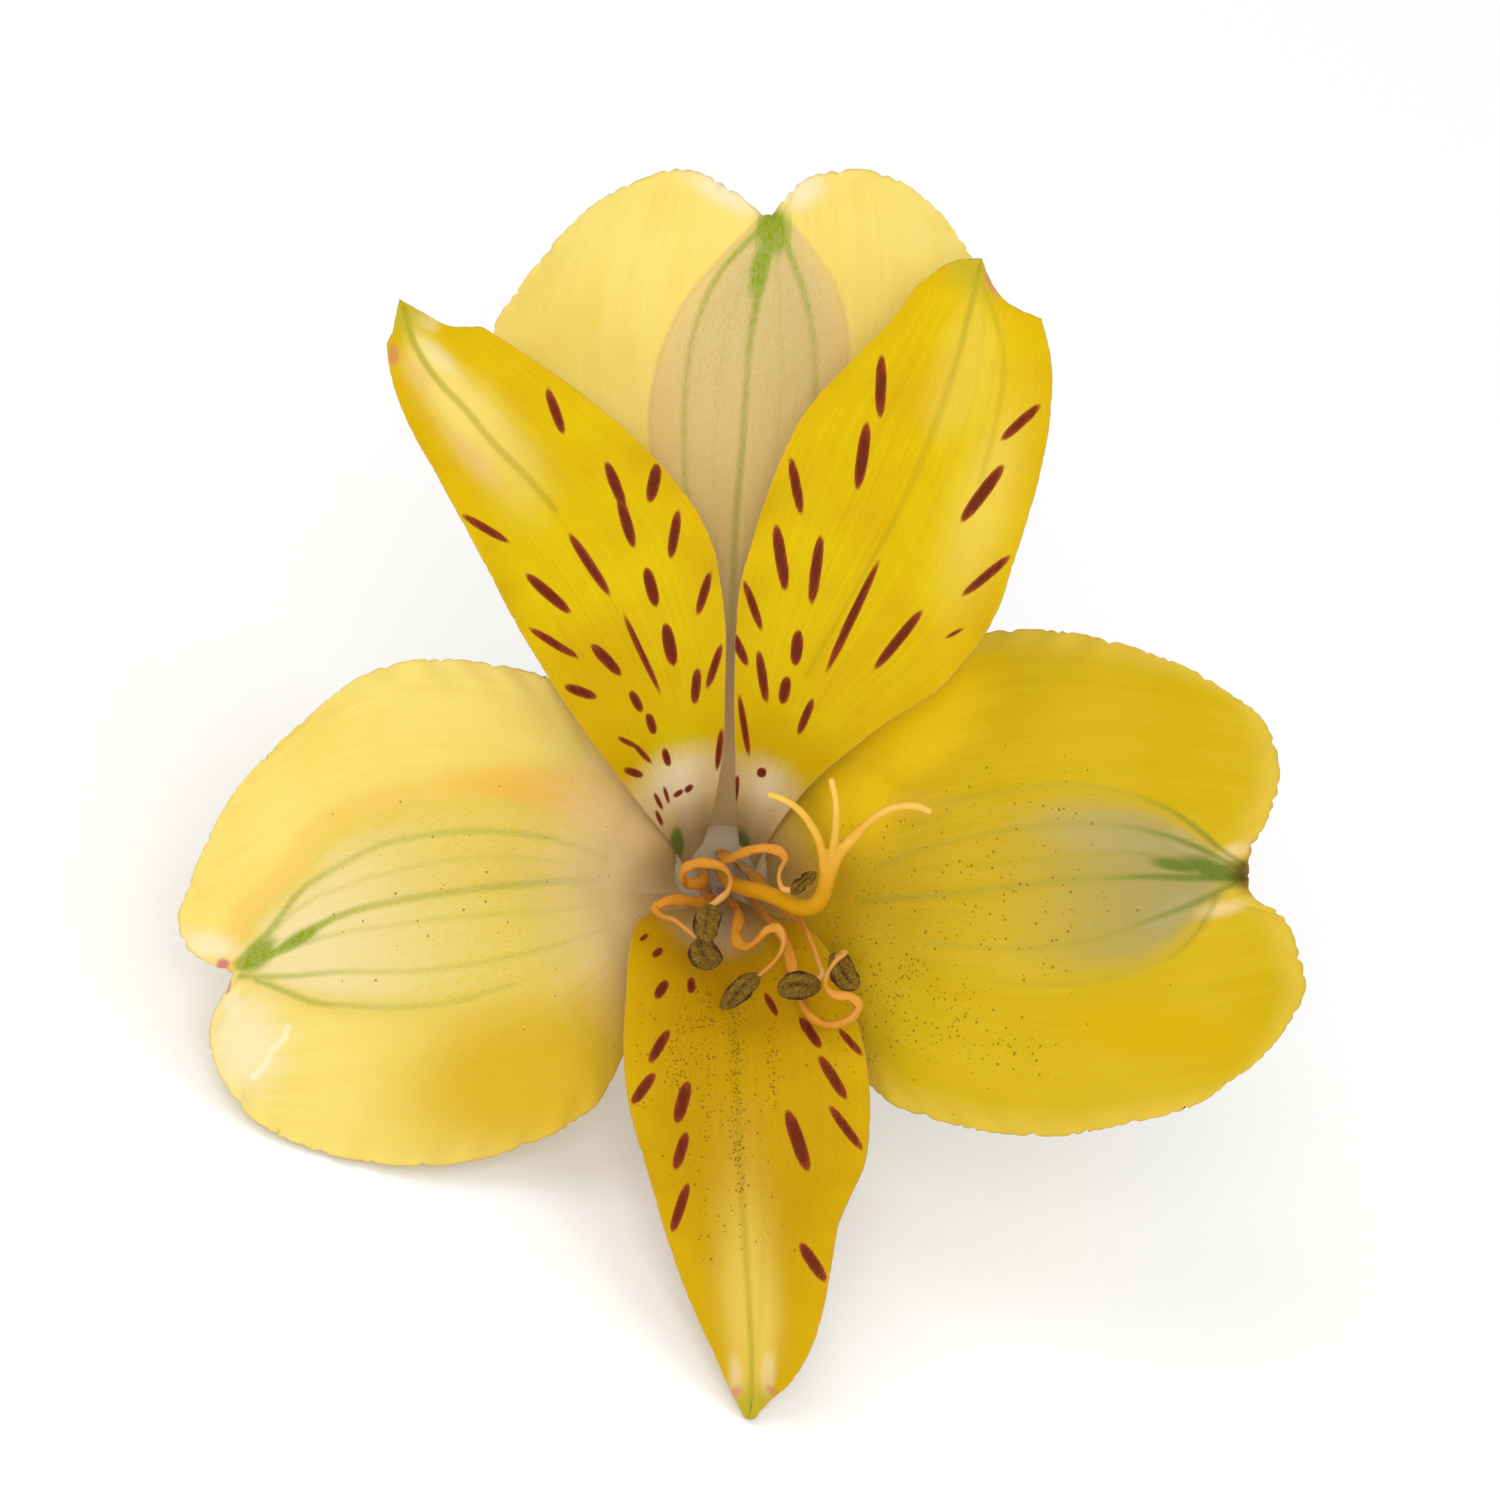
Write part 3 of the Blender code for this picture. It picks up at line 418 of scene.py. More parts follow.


# The tepals, in millimetres as the bloom is seen from the front. Left and right are as
# the blade is seen with its tip upwards. Side margins run from above the claw to the
# shoulder, top margins from the tip to the shoulder. Calm is the power by which the long
# waves die out at the tip, and phase sets the waves of one tepal apart from another's.
# The band is the outline of the area round the midrib, and lift is how far it stands
# proud. A vein has its strength and its line. A fleck has its two ends and its width.
# Patches of white, green, red, deep, golden, lilac and spot are soft ellipses, each with a
# middle, two radii and the angle of the first. Deep patches are painted shade, as are the
# golden patches of the side outer tepals, and the spot patches of the right outer tepal
# are painted light. Upper is the half with a fold beside the band, where shade is painted,
# and a glint is a painted highlight, a pale line along a crease.
OUTER_TOP = {
    "name": "outer_tepal_top",
    "claw": (OUTER_RING, OUTER_CLAW, 90.0),
    "rise": OUTER_RISE,
    "cup": OUTER_CUP,
    "calm": 12,
    "phase": 0.0,
    "midrib": ((0.3, 6.0), (0.7, 13.0), (0.9, 20.3), (1.4, 26.6), (1.8, 32.8),
               (2.7, 37.8), (3.25, 41.3)),
    "left": ((-3.4, 6.0), (-7.0, 13.0), (-10.8, 19.5), (-13.6, 26.0), (-14.6, 31.0),
             (-14.2, 34.6), (-12.6, 37.2), (-10.6, 39.8)),
    "left_top": ((3.25, 41.3), (2.2, 41.8), (1.0, 42.8), (-0.4, 43.7), (-2.6, 44.3),
                 (-4.6, 43.8), (-7.4, 42.5), (-10.6, 39.8)),
    "right": ((3.6, 5.6), (7.2, 12.0), (11.0, 18.6), (14.2, 25.0), (16.3, 31.0),
              (16.8, 35.4), (16.0, 38.8), (14.3, 41.2)),
    "right_top": ((3.25, 41.3), (4.1, 42.4), (5.2, 43.5), (6.8, 44.1), (8.6, 44.3),
                  (10.8, 43.8), (12.8, 42.5), (14.3, 41.2)),
    "band": ((3.3, 41.4), (2.2, 40.6), (0.9, 39.4), (-0.3, 38.1), (-1.6, 36.6), (-2.5, 35.3),
             (-3.2, 33.8), (-3.8, 32.2), (-4.2, 30.3), (-4.4, 28.4), (-4.2, 26.0),
             (-3.4, 21.0), (-2.4, 15.0), (-1.5, 6.0), (2.5, 6.0), (4.4, 14.0), (6.2, 21.0),
             (7.6, 27.0), (8.0, 32.2), (7.9, 34.1), (7.6, 35.6), (7.0, 37.2), (6.2, 38.4),
             (5.3, 39.7), (4.4, 40.6)),
    "veins": (
        (1.0, ((3.3, 41.0), (2.8, 37.8), (2.2, 35.3), (1.8, 32.8), (1.6, 29.7),
               (1.4, 26.6), (1.1, 23.4), (0.9, 20.3), (0.8, 17.2), (0.3, 5.9))),
        (0.7, ((2.6, 40.4), (0.1, 37.8), (-1.2, 35.3), (-1.9, 32.8), (-2.2, 29.7),
               (-2.2, 25.0), (-1.4, 18.0))),
        (0.3, ((2.9, 39.6), (1.5, 37.0), (0.4, 34.0), (-0.1, 30.5), (-0.3, 26.0),
               (-0.2, 19.0))),
        (0.7, ((3.7, 40.4), (5.2, 36.6), (5.8, 34.1), (6.0, 30.9), (5.6, 26.0),
               (4.0, 19.0))),
        (0.3, ((3.4, 39.6), (3.7, 36.4), (3.9, 33.0), (3.7, 28.0), (2.8, 21.0))),
    ),
    "white": ((0.3, 42.6, 2.7, 0.85, -28), (5.2, 42.8, 1.5, 1.2, 30)),
    "green": ((3.3, 40.2, 1.15, 1.6, 0), (2.5, 37.9, 0.55, 1.9, -12)),
    "lift": 0.25,
}
OUTER_LEFT = {
    "name": "outer_tepal_left",
    "claw": (OUTER_RING, OUTER_CLAW, 210.0),
    "rise": OUTER_RISE,
    "cup": OUTER_CUP,
    "calm": 12,
    "phase": 2.0,
    "midrib": ((-5.6, -1.3), (-10.0, -0.8), (-13.8, -0.7), (-20.0, -1.6),
               (-24.6, -3.0), (-28.2, -5.0), (-30.5, -6.2)),
    "left": ((-4.4, -6.6), (-5.9, -11.4), (-7.6, -14.7), (-11.4, -17.0), (-15.6, -18.1),
             (-20.0, -18.2), (-24.0, -17.5), (-27.3, -16.4)),
    "left_top": ((-30.5, -6.2), (-30.9, -7.2), (-31.7, -8.6), (-32.0, -10.2),
                 (-31.3, -12.5), (-29.8, -14.6), (-27.3, -16.4)),
    "right": ((-3.3, 3.5), (-5.2, 6.8), (-7.8, 10.3), (-11.0, 12.7), (-14.6, 13.6),
              (-19.0, 13.7), (-22.4, 12.6), (-25.4, 10.3), (-28.3, 7.6)),
    "right_top": ((-30.5, -6.2), (-32.1, -5.5), (-33.4, -4.5), (-33.9, -2.8),
                  (-33.2, -0.6), (-32.0, 2.2), (-30.4, 5.0), (-28.3, 7.6)),
    "band": ((-30.7, -6.2), (-29.4, -2.8), (-27.5, -0.9), (-26.2, 0.3), (-25.6, 1.6),
             (-24.4, 2.8), (-22.5, 3.8), (-20.0, 4.4), (-16.9, 4.8), (-13.8, 4.7),
             (-10.0, 3.8), (-6.2, 2.2), (-3.0, 1.0), (-3.0, -3.4), (-7.5, -5.0),
             (-12.5, -7.2), (-17.0, -8.6), (-20.5, -9.0), (-24.0, -8.8), (-27.5, -7.8),
             (-29.6, -6.8)),
    "veins": (
        (1.0, ((-30.0, -5.8), (-26.9, -4.4), (-25.0, -3.1), (-23.1, -2.3), (-20.0, -1.6),
               (-16.9, -1.1), (-13.8, -0.7), (-10.6, -0.4), (-7.5, -0.4))),
        (0.75, ((-30.3, -5.6), (-28.1, -3.4), (-26.2, -0.9), (-23.8, 0.6), (-21.2, 1.9),
               (-18.8, 2.4), (-15.6, 2.7), (-13.1, 2.6), (-10.6, 2.2), (-7.0, 1.0))),
        (0.4, ((-28.0, -3.6), (-26.2, -1.9), (-23.1, -0.6), (-18.8, 0.6), (-13.8, 1.1),
               (-8.5, 0.5))),
        (0.45, ((-28.4, -5.2), (-24.4, -3.8), (-20.0, -3.1), (-15.0, -2.5), (-10.0, -2.1),
               (-7.0, -1.6))),
        (0.55, ((-30.0, -6.4), (-26.9, -6.4), (-23.8, -6.1), (-20.0, -6.1), (-16.9, -5.8),
               (-13.8, -5.2), (-10.6, -4.4), (-7.0, -3.2))),
        (0.6, ((-29.1, -6.6), (-27.5, -7.2), (-25.6, -8.0), (-23.1, -8.2), (-20.0, -8.3),
               (-16.9, -8.0), (-13.0, -6.8))),
    ),
    "white": ((-31.8, -4.4, 2.0, 0.9, -15), (-30.4, -8.4, 0.9, 1.5, 10),
              (-29.6, -10.6, 2.6, 3.4, 0)),
    "green": ((-28.9, -5.0, 1.5, 0.8, 48), (-26.4, -4.0, 1.6, 0.45, 30)),
    "red": ((-31.1, -5.6, 0.5, 0.45, 0), (-30.8, -6.9, 0.25, 0.7, 0)),
    # Deep patches are painted shade.
    "deep": ((-11.4, -12.6, 9.4, 6.0, 10), (-7.0, -9.0, 4.0, 4.0, 0)),
    # Golden patches on this tepal are painted shade above the band.
    "golden": ((-10.9, 5.3, 7.0, 1.9, -6), (-22.6, 1.6, 4.6, 0.7, 42)),
    # A painted highlight along a crease.
    "glint": ((-27.0, -9.5), (-27.3, -10.3), (-28.0, -10.9), (-28.4, -11.9),
              (-29.2, -12.7)),
    "lift": 0.7,
    "upper": 1,
}
OUTER_RIGHT = {
    "name": "outer_tepal_right",
    "claw": (OUTER_RING, OUTER_CLAW, 330.0),
    "rise": OUTER_RISE,
    "cup": OUTER_CUP,
    "calm": 12,
    "phase": 4.0,
    "midrib": ((5.8, -1.6), (10.0, -1.3), (15.0, -1.1), (20.6, -0.5), (27.0, -0.1),
               (33.1, 0.0)),
    "left": ((3.4, 3.5), (5.4, 7.0), (8.3, 10.6), (12.2, 13.8), (16.6, 15.4),
             (21.2, 15.3), (25.4, 14.4), (29.0, 13.1), (32.2, 11.2)),
    "left_top": ((33.1, 0.0), (33.2, 1.3), (34.2, 3.2), (35.0, 5.8), (34.6, 8.4),
                 (33.6, 10.0), (32.2, 11.2)),
    "right": ((5.0, -6.4), (7.4, -11.0), (10.6, -14.6), (15.0, -16.1), (20.8, -16.6),
              (25.0, -15.8), (29.0, -14.7), (32.6, -12.5)),
    "right_top": ((33.1, 0.0), (33.4, -1.3), (35.0, -2.3), (36.2, -4.8), (36.6, -7.0),
                  (35.6, -9.2), (34.2, -11.0), (32.6, -12.5)),
    "band": ((33.3, 0.0), (31.2, 1.9), (30.0, 3.0), (28.1, 4.3), (26.2, 5.1), (23.8, 5.7),
             (21.2, 5.9), (18.0, 5.6), (14.0, 4.6), (10.0, 3.2), (4.0, 1.5), (4.0, -3.5),
             (10.0, -4.6), (15.0, -6.2), (20.0, -7.2), (24.4, -7.0), (27.0, -6.2),
             (29.0, -4.8), (30.6, -3.0), (32.2, -1.0)),
    "veins": (
        (0.9, ((33.0, -0.1), (30.0, -0.2), (26.9, -0.1), (23.8, -0.2), (20.6, -0.4),
               (17.5, -0.8), (15.0, -1.1), (9.0, -1.6))),
        (0.6, ((32.8, 0.6), (31.2, 1.7), (30.0, 2.8), (28.1, 4.1), (26.2, 4.9),
               (23.8, 5.5), (21.2, 5.7), (18.8, 5.4), (16.2, 5.0), (13.8, 4.5))),
        (0.7, ((32.5, 0.4), (30.0, 1.7), (27.5, 2.6), (25.0, 3.1), (22.5, 3.2),
               (20.0, 3.1), (17.5, 2.7), (15.0, 2.2), (10.0, 0.6))),
        (0.5, ((31.9, 0.0), (28.8, 0.9), (25.6, 1.4), (22.5, 1.2), (18.8, 0.9),
               (16.2, 0.6))),
        (0.65, ((32.2, -0.5), (29.4, -1.9), (26.9, -2.8), (24.4, -3.8), (21.2, -4.4),
               (18.8, -4.6), (13.0, -4.2))),
        (0.5, ((31.2, -1.2), (30.0, -3.4), (28.4, -5.0), (26.2, -5.9), (24.4, -6.5),
               (21.2, -6.9), (17.0, -6.6))),
    ),
    "white": ((31.9, 1.3, 1.6, 0.7, 25), (31.4, -2.1, 1.9, 0.6, 12)),
    "red": ((33.3, 1.4, 0.3, 0.9, 0), (33.5, -0.8, 0.3, 0.5, 0)),
    # Deep patches are painted shade.
    "deep": ((6.4, -1.2, 3.0, 3.4, 0), (27.0, -9.8, 7.0, 1.8, -5)),
    # Spot patches on this tepal are painted light on the upper lobe.
    "spot": ((12.0, 9.6, 6.5, 3.2, 38), (8.6, 4.6, 3.0, 3.6, 0)),
    "green": ((30.8, 0.4, 2.2, 0.7, -18), (28.6, 0.6, 1.8, 0.4, -10)),
    # The golden patch on this tepal is painted shade above the band.
    "golden": ((10.6, 4.2, 5.0, 1.1, 4),),
    "lilac": ((24.0, 2.6, 4.2, 1.5, -8), (29.4, 1.8, 2.2, 0.8, -28),
              (28.4, -2.2, 2.0, 0.8, 30)),
    "lift": 0.35,
    "upper": -1,
}
INNER_UPPER_LEFT = {
    "name": "inner_tepal_upper_left",
    "claw": (INNER_RING, INNER_CLAW, 150.0),
    "rise": INNER_RISE,
    "cup": INNER_CUP,
    "calm": 4,
    "phase": 1.0,
    "midrib": ((-2.1, 3.6), (-2.9, 7.4), (-4.5, 12.2), (-7.5, 18.4), (-11.3, 23.4),
               (-15.0, 28.4), (-18.0, 32.4), (-19.8, 35.7)),
    "left": ((-3.1, 1.9), (-5.0, 4.5), (-8.7, 9.4), (-13.0, 16.1), (-15.1, 20.2),
             (-17.5, 24.7), (-19.4, 28.2), (-20.4, 31.2), (-20.6, 32.9)),
    "left_top": ((-19.8, 35.7), (-20.0, 34.8), (-20.2, 33.8), (-20.6, 32.9)),
    "right": ((-0.7, 3.6), (0.0, 7.4), (0.2, 12.0), (0.0, 18.0), (-1.3, 22.4),
              (-4.4, 26.4), (-8.4, 29.8), (-12.2, 32.4), (-14.6, 33.9)),
    "right_top": ((-19.8, 35.7), (-18.4, 34.9), (-17.0, 34.1), (-14.6, 33.9)),
    "band": ((-19.8, 35.6), (-18.6, 35.0), (-17.8, 33.6), (-16.3, 32.3), (-14.2, 30.8),
             (-12.5, 29.0), (-10.6, 26.6), (-9.6, 24.0), (-10.4, 21.6), (-11.4, 21.0),
             (-13.6, 21.9), (-15.2, 23.9), (-17.2, 26.3), (-18.9, 29.1), (-20.2, 31.7),
             (-20.0, 34.0)),
    "veins": (
        (1.0, ((-19.7, 35.4), (-19.2, 33.4), (-17.8, 31.1), (-15.9, 29.1), (-14.1, 26.9),
               (-12.2, 25.0), (-10.3, 22.8))),
        (0.4, ((-11.2, 23.8), (-7.5, 18.4), (-4.4, 12.0))),
        (0.25, ((-18.8, 34.0), (-15.4, 30.6), (-11.2, 26.4), (-6.4, 20.6))),
        (0.2, ((-19.8, 32.6), (-17.0, 28.0), (-13.4, 23.0), (-10.0, 18.4))),
    ),
    "flecks": (
        (-10.8, 30.4, -9.8, 27.6, 0.62), (-7.1, 25.8, -6.0, 23.0, 0.69),
        (-6.3, 23.6, -5.4, 20.5, 0.69), (-3.9, 25.7, -4.4, 23.3, 0.75),
        (-2.6, 22.8, -3.1, 19.8, 0.62), (-9.4, 21.3, -6.9, 17.5, 0.62),
        (-16.1, 22.5, -13.2, 20.8, 0.5), (-12.1, 18.8, -9.4, 16.4, 0.69),
        (-4.6, 19.2, -4.0, 16.8, 0.75), (-0.6, 18.9, -1.4, 16.3, 0.56),
        (-11.9, 15.4, -8.9, 13.6, 0.5), (-8.0, 14.4, -6.2, 12.5, 0.69),
        (-6.0, 16.2, -3.8, 11.5, 0.4), (-3.4, 15.7, -2.9, 13.1, 0.81),
        (0.1, 14.4, -0.8, 11.7, 0.5), (-1.4, 12.9, -1.6, 10.7, 0.6),
        (-9.7, 11.8, -7.7, 11.1, 0.62), (-5.6, 11.5, -4.9, 10.2, 0.55),
        (-4.5, 10.1, -4.1, 8.8, 0.55), (-6.4, 8.6, -5.2, 8.0, 0.34),
        (-5.4, 8.2, -4.3, 7.0, 0.34), (-6.0, 6.6, -4.8, 6.2, 0.5),
        (-3.5, 7.9, -3.2, 6.8, 0.48), (0.1, 9.1, -0.2, 6.6, 0.4),
        (-4.1, 5.1, -3.6, 4.1, 0.28), (-3.5, 5.5, -3.2, 4.5, 0.24),
        (-2.9, 4.9, -2.3, 5.3, 0.33), (-2.2, 5.2, -1.7, 5.6, 0.38),
        (-4.0, 4.0, -3.6, 3.1, 0.28),
    ),
    "white": ((-18.3, 34.6, 0.9, 0.5, -35), (-17.6, 32.4, 0.6, 1.8, 45)),
    "golden": ((-18.9, 31.2, 0.7, 1.8, 35), (-15.4, 26.0, 0.8, 2.6, 42)),
    "red": ((-20.4, 32.5, 0.45, 0.9, 0),),
    "spot": ((-2.7, 1.9, 0.5, 1.2, 0),),
}
INNER_UPPER_RIGHT = {
    "name": "inner_tepal_upper_right",
    "claw": (INNER_RING, INNER_CLAW, 30.0),
    "rise": INNER_RISE,
    "cup": INNER_CUP,
    "calm": 4,
    "phase": 5.0,
    "midrib": ((2.4, 3.6), (3.4, 7.2), (5.3, 12.2), (8.1, 17.2), (11.2, 22.8),
               (13.4, 28.0), (15.0, 33.0), (16.2, 38.2)),
    "left": ((1.1, 3.4), (1.0, 7.2), (1.0, 12.4), (1.5, 18.6), (3.1, 24.1), (5.0, 28.4),
             (8.2, 32.0), (10.6, 34.4), (12.2, 36.5)),
    "left_top": ((16.2, 38.2), (15.2, 38.2), (14.2, 37.9), (12.2, 36.5)),
    "right": ((3.0, 1.9), (5.2, 5.2), (9.4, 9.0), (14.7, 12.8), (17.2, 16.2),
              (18.6, 20.4), (19.8, 24.6), (20.5, 28.6), (20.5, 32.0), (19.9, 34.4)),
    "right_top": ((16.2, 38.2), (16.7, 36.9), (17.6, 35.6), (19.9, 34.4)),
    "band": ((16.3, 37.6), (14.2, 34.0), (12.6, 28.8), (13.6, 27.0), (15.6, 28.0),
             (17.4, 30.4), (17.6, 33.6)),
    "veins": (
        (0.7, ((16.2, 37.8), (15.0, 32.8), (13.1, 27.2), (11.2, 22.8), (8.1, 17.2),
               (5.4, 12.4))),
        (0.55, ((16.4, 37.0), (17.2, 34.8), (17.7, 32.8), (17.4, 29.0), (16.2, 24.4))),
        (0.35, ((15.8, 37.0), (12.6, 32.6), (10.0, 27.4), (7.6, 21.6))),
        (0.3, ((16.6, 36.6), (16.2, 31.4), (14.6, 26.0), (12.2, 20.4))),
    ),
    "flecks": (
        (10.1, 32.5, 10.0, 28.6, 0.69), (9.2, 28.3, 8.6, 24.1, 0.75),
        (4.4, 26.1, 5.1, 22.5, 0.62), (3.5, 21.9, 4.1, 17.8, 0.75),
        (6.3, 21.2, 5.7, 17.0, 0.69), (1.5, 18.4, 2.6, 15.3, 0.52),
        (9.9, 19.6, 6.7, 12.8, 0.56), (20.0, 29.4, 17.6, 27.2, 0.62),
        (17.7, 25.6, 15.1, 22.1, 0.78), (18.1, 19.9, 15.2, 17.5, 0.56),
        (12.6, 16.5, 9.7, 12.9, 0.66), (15.2, 15.4, 14.1, 14.8, 0.24),
        (0.8, 15.1, 1.7, 13.1, 0.56), (2.4, 14.0, 2.9, 10.8, 0.58),
        (4.9, 15.3, 4.7, 13.1, 0.75), (4.2, 12.4, 3.9, 10.7, 0.69),
        (5.8, 11.0, 4.9, 8.8, 0.52), (1.2, 11.2, 1.8, 7.5, 0.42),
        (2.3, 6.4, 2.9, 6.4, 0.6), (1.1, 6.2, 0.9, 4.5, 0.36),
    ),
    "red": ((16.9, 37.0, 0.3, 1.3, 25),),
    "golden": ((16.6, 23.0, 7.0, 2.2, 74),),
    "spot": ((1.2, 2.0, 0.75, 0.9, 0),),
}
INNER_LOWER = {
    "name": "inner_tepal_lower",
    "claw": (INNER_RING, INNER_CLAW, 270.0),
    "rise": LOWER_RISE,
    "cup": LOWER_CUP,
    "calm": 4,
    "phase": 3.0,
    "midrib": ((0.3, -4.2), (0.9, -8.6), (1.1, -14.1), (1.4, -20.3), (1.8, -26.6),
               (2.0, -31.0), (1.9, -33.9)),
    "left": ((2.4, -3.0), (6.4, -5.0), (8.5, -8.8), (9.4, -13.4), (9.1, -17.6),
             (7.5, -21.4), (6.8, -25.4), (5.9, -29.0), (4.5, -31.5), (3.1, -32.8),
             (2.4, -33.6)),
    "left_top": ((1.9, -33.9), (2.2, -33.8), (2.4, -33.6)),
    "right": ((-2.0, -2.9), (-5.0, -4.3), (-6.0, -8.6), (-5.9, -13.4), (-4.6, -18.4),
              (-3.2, -23.0), (-1.4, -27.6), (-0.3, -30.0), (0.6, -32.0), (1.4, -33.6)),
    "right_top": ((1.9, -33.9), (1.6, -33.8), (1.4, -33.6)),
    "band": ((1.9, -33.8), (0.8, -32.2), (0.0, -30.0), (-0.5, -27.4), (-0.8, -25.0),
             (-0.8, -20.0), (-0.5, -14.0), (2.4, -14.0), (3.8, -20.0), (4.2, -25.0),
             (4.3, -28.0), (3.9, -30.4), (3.0, -32.4)),
    "veins": (
        (0.8, ((0.9, -8.4), (1.1, -14.1), (1.4, -20.3), (1.8, -26.6), (2.0, -31.0),
               (1.9, -33.6))),
        (0.2, ((0.0, -9.4), (-0.1, -14.6), (0.3, -20.6), (1.1, -26.8), (1.7, -31.8))),
        (0.35, ((2.1, -9.4), (2.5, -14.6), (2.7, -20.6), (2.6, -26.8), (2.2, -31.8))),
        (0.2, ((-1.6, -8.6), (-2.0, -14.0), (-1.2, -20.0), (0.3, -27.2))),
        (0.2, ((3.8, -8.6), (4.6, -14.0), (4.4, -20.0), (3.6, -27.2))),
    ),
    "flecks": (
        (-5.0, -4.1, -4.5, -3.7, 0.3), (-4.2, -5.1, -3.6, -4.6, 0.46),
        (-4.0, -7.7, -3.3, -6.6, 0.64), (-1.8, -7.4, -1.8, -6.4, 0.52),
        (-4.4, -11.7, -3.2, -9.7, 0.64), (-5.5, -14.3, -4.1, -12.4, 0.69),
        (-2.7, -15.5, -2.0, -12.9, 0.81), (-2.8, -18.4, -2.1, -16.1, 0.69),
        (-3.0, -22.3, -2.0, -19.3, 0.64), (2.8, -7.4, 3.6, -8.8, 0.46),
        (5.0, -8.9, 6.3, -10.8, 0.64), (7.4, -9.6, 8.9, -11.3, 0.46),
        (6.2, -11.3, 7.9, -14.0, 0.69), (6.8, -14.4, 8.9, -17.2, 0.58),
        (4.2, -14.7, 5.5, -18.5, 0.88), (5.0, -23.0, 6.6, -25.4, 0.75),
    ),
    "white": ((1.0, -31.4, 0.5, 1.5, 5), (3.0, -31.2, 0.5, 1.5, -5)),
    "red": ((1.0, -32.3, 0.5, 0.4, 45), (3.2, -32.2, 0.6, 0.35, -40)),
}
OUTER_TEPALS = (OUTER_TOP, OUTER_LEFT, OUTER_RIGHT)
INNER_TEPALS = (INNER_UPPER_LEFT, INNER_UPPER_RIGHT, INNER_LOWER)

# Where shed pollen lies: the ends and the radius of each area, and the share of cells
# there that hold a speck.
DUST = (
    (-1.0, -8.0, -2.6, -13.0, 1.3, 0.4), (-0.4, -9.0, -1.0, -16.0, 0.5, 0.4),
    (0.9, -8.6, 1.2, -19.6, 0.45, 0.85), (3.2, -9.6, 3.3, -14.8, 0.35, 0.7),
    (0.5, -8.0, 0.9, -22.0, 2.6, 0.08), (-4.6, -8.0, -4.4, -14.0, 1.0, 0.12),
    (9.0, -6.0, 14.0, -9.0, 3.0, 0.16), (9.5, -7.5, 12.5, -6.0, 0.9, 0.4),
    (17.0, -10.5, 20.0, -11.5, 1.3, 0.18), (9.0, -1.0, 20.0, -3.0, 4.0, 0.07),
    (9.0, 2.5, 22.0, 4.5, 2.5, 0.04), (-20.0, -2.0, -8.0, -1.0, 5.0, 0.012),
    (4.0, -3.0, 7.0, -12.0, 2.5, 0.05),
)

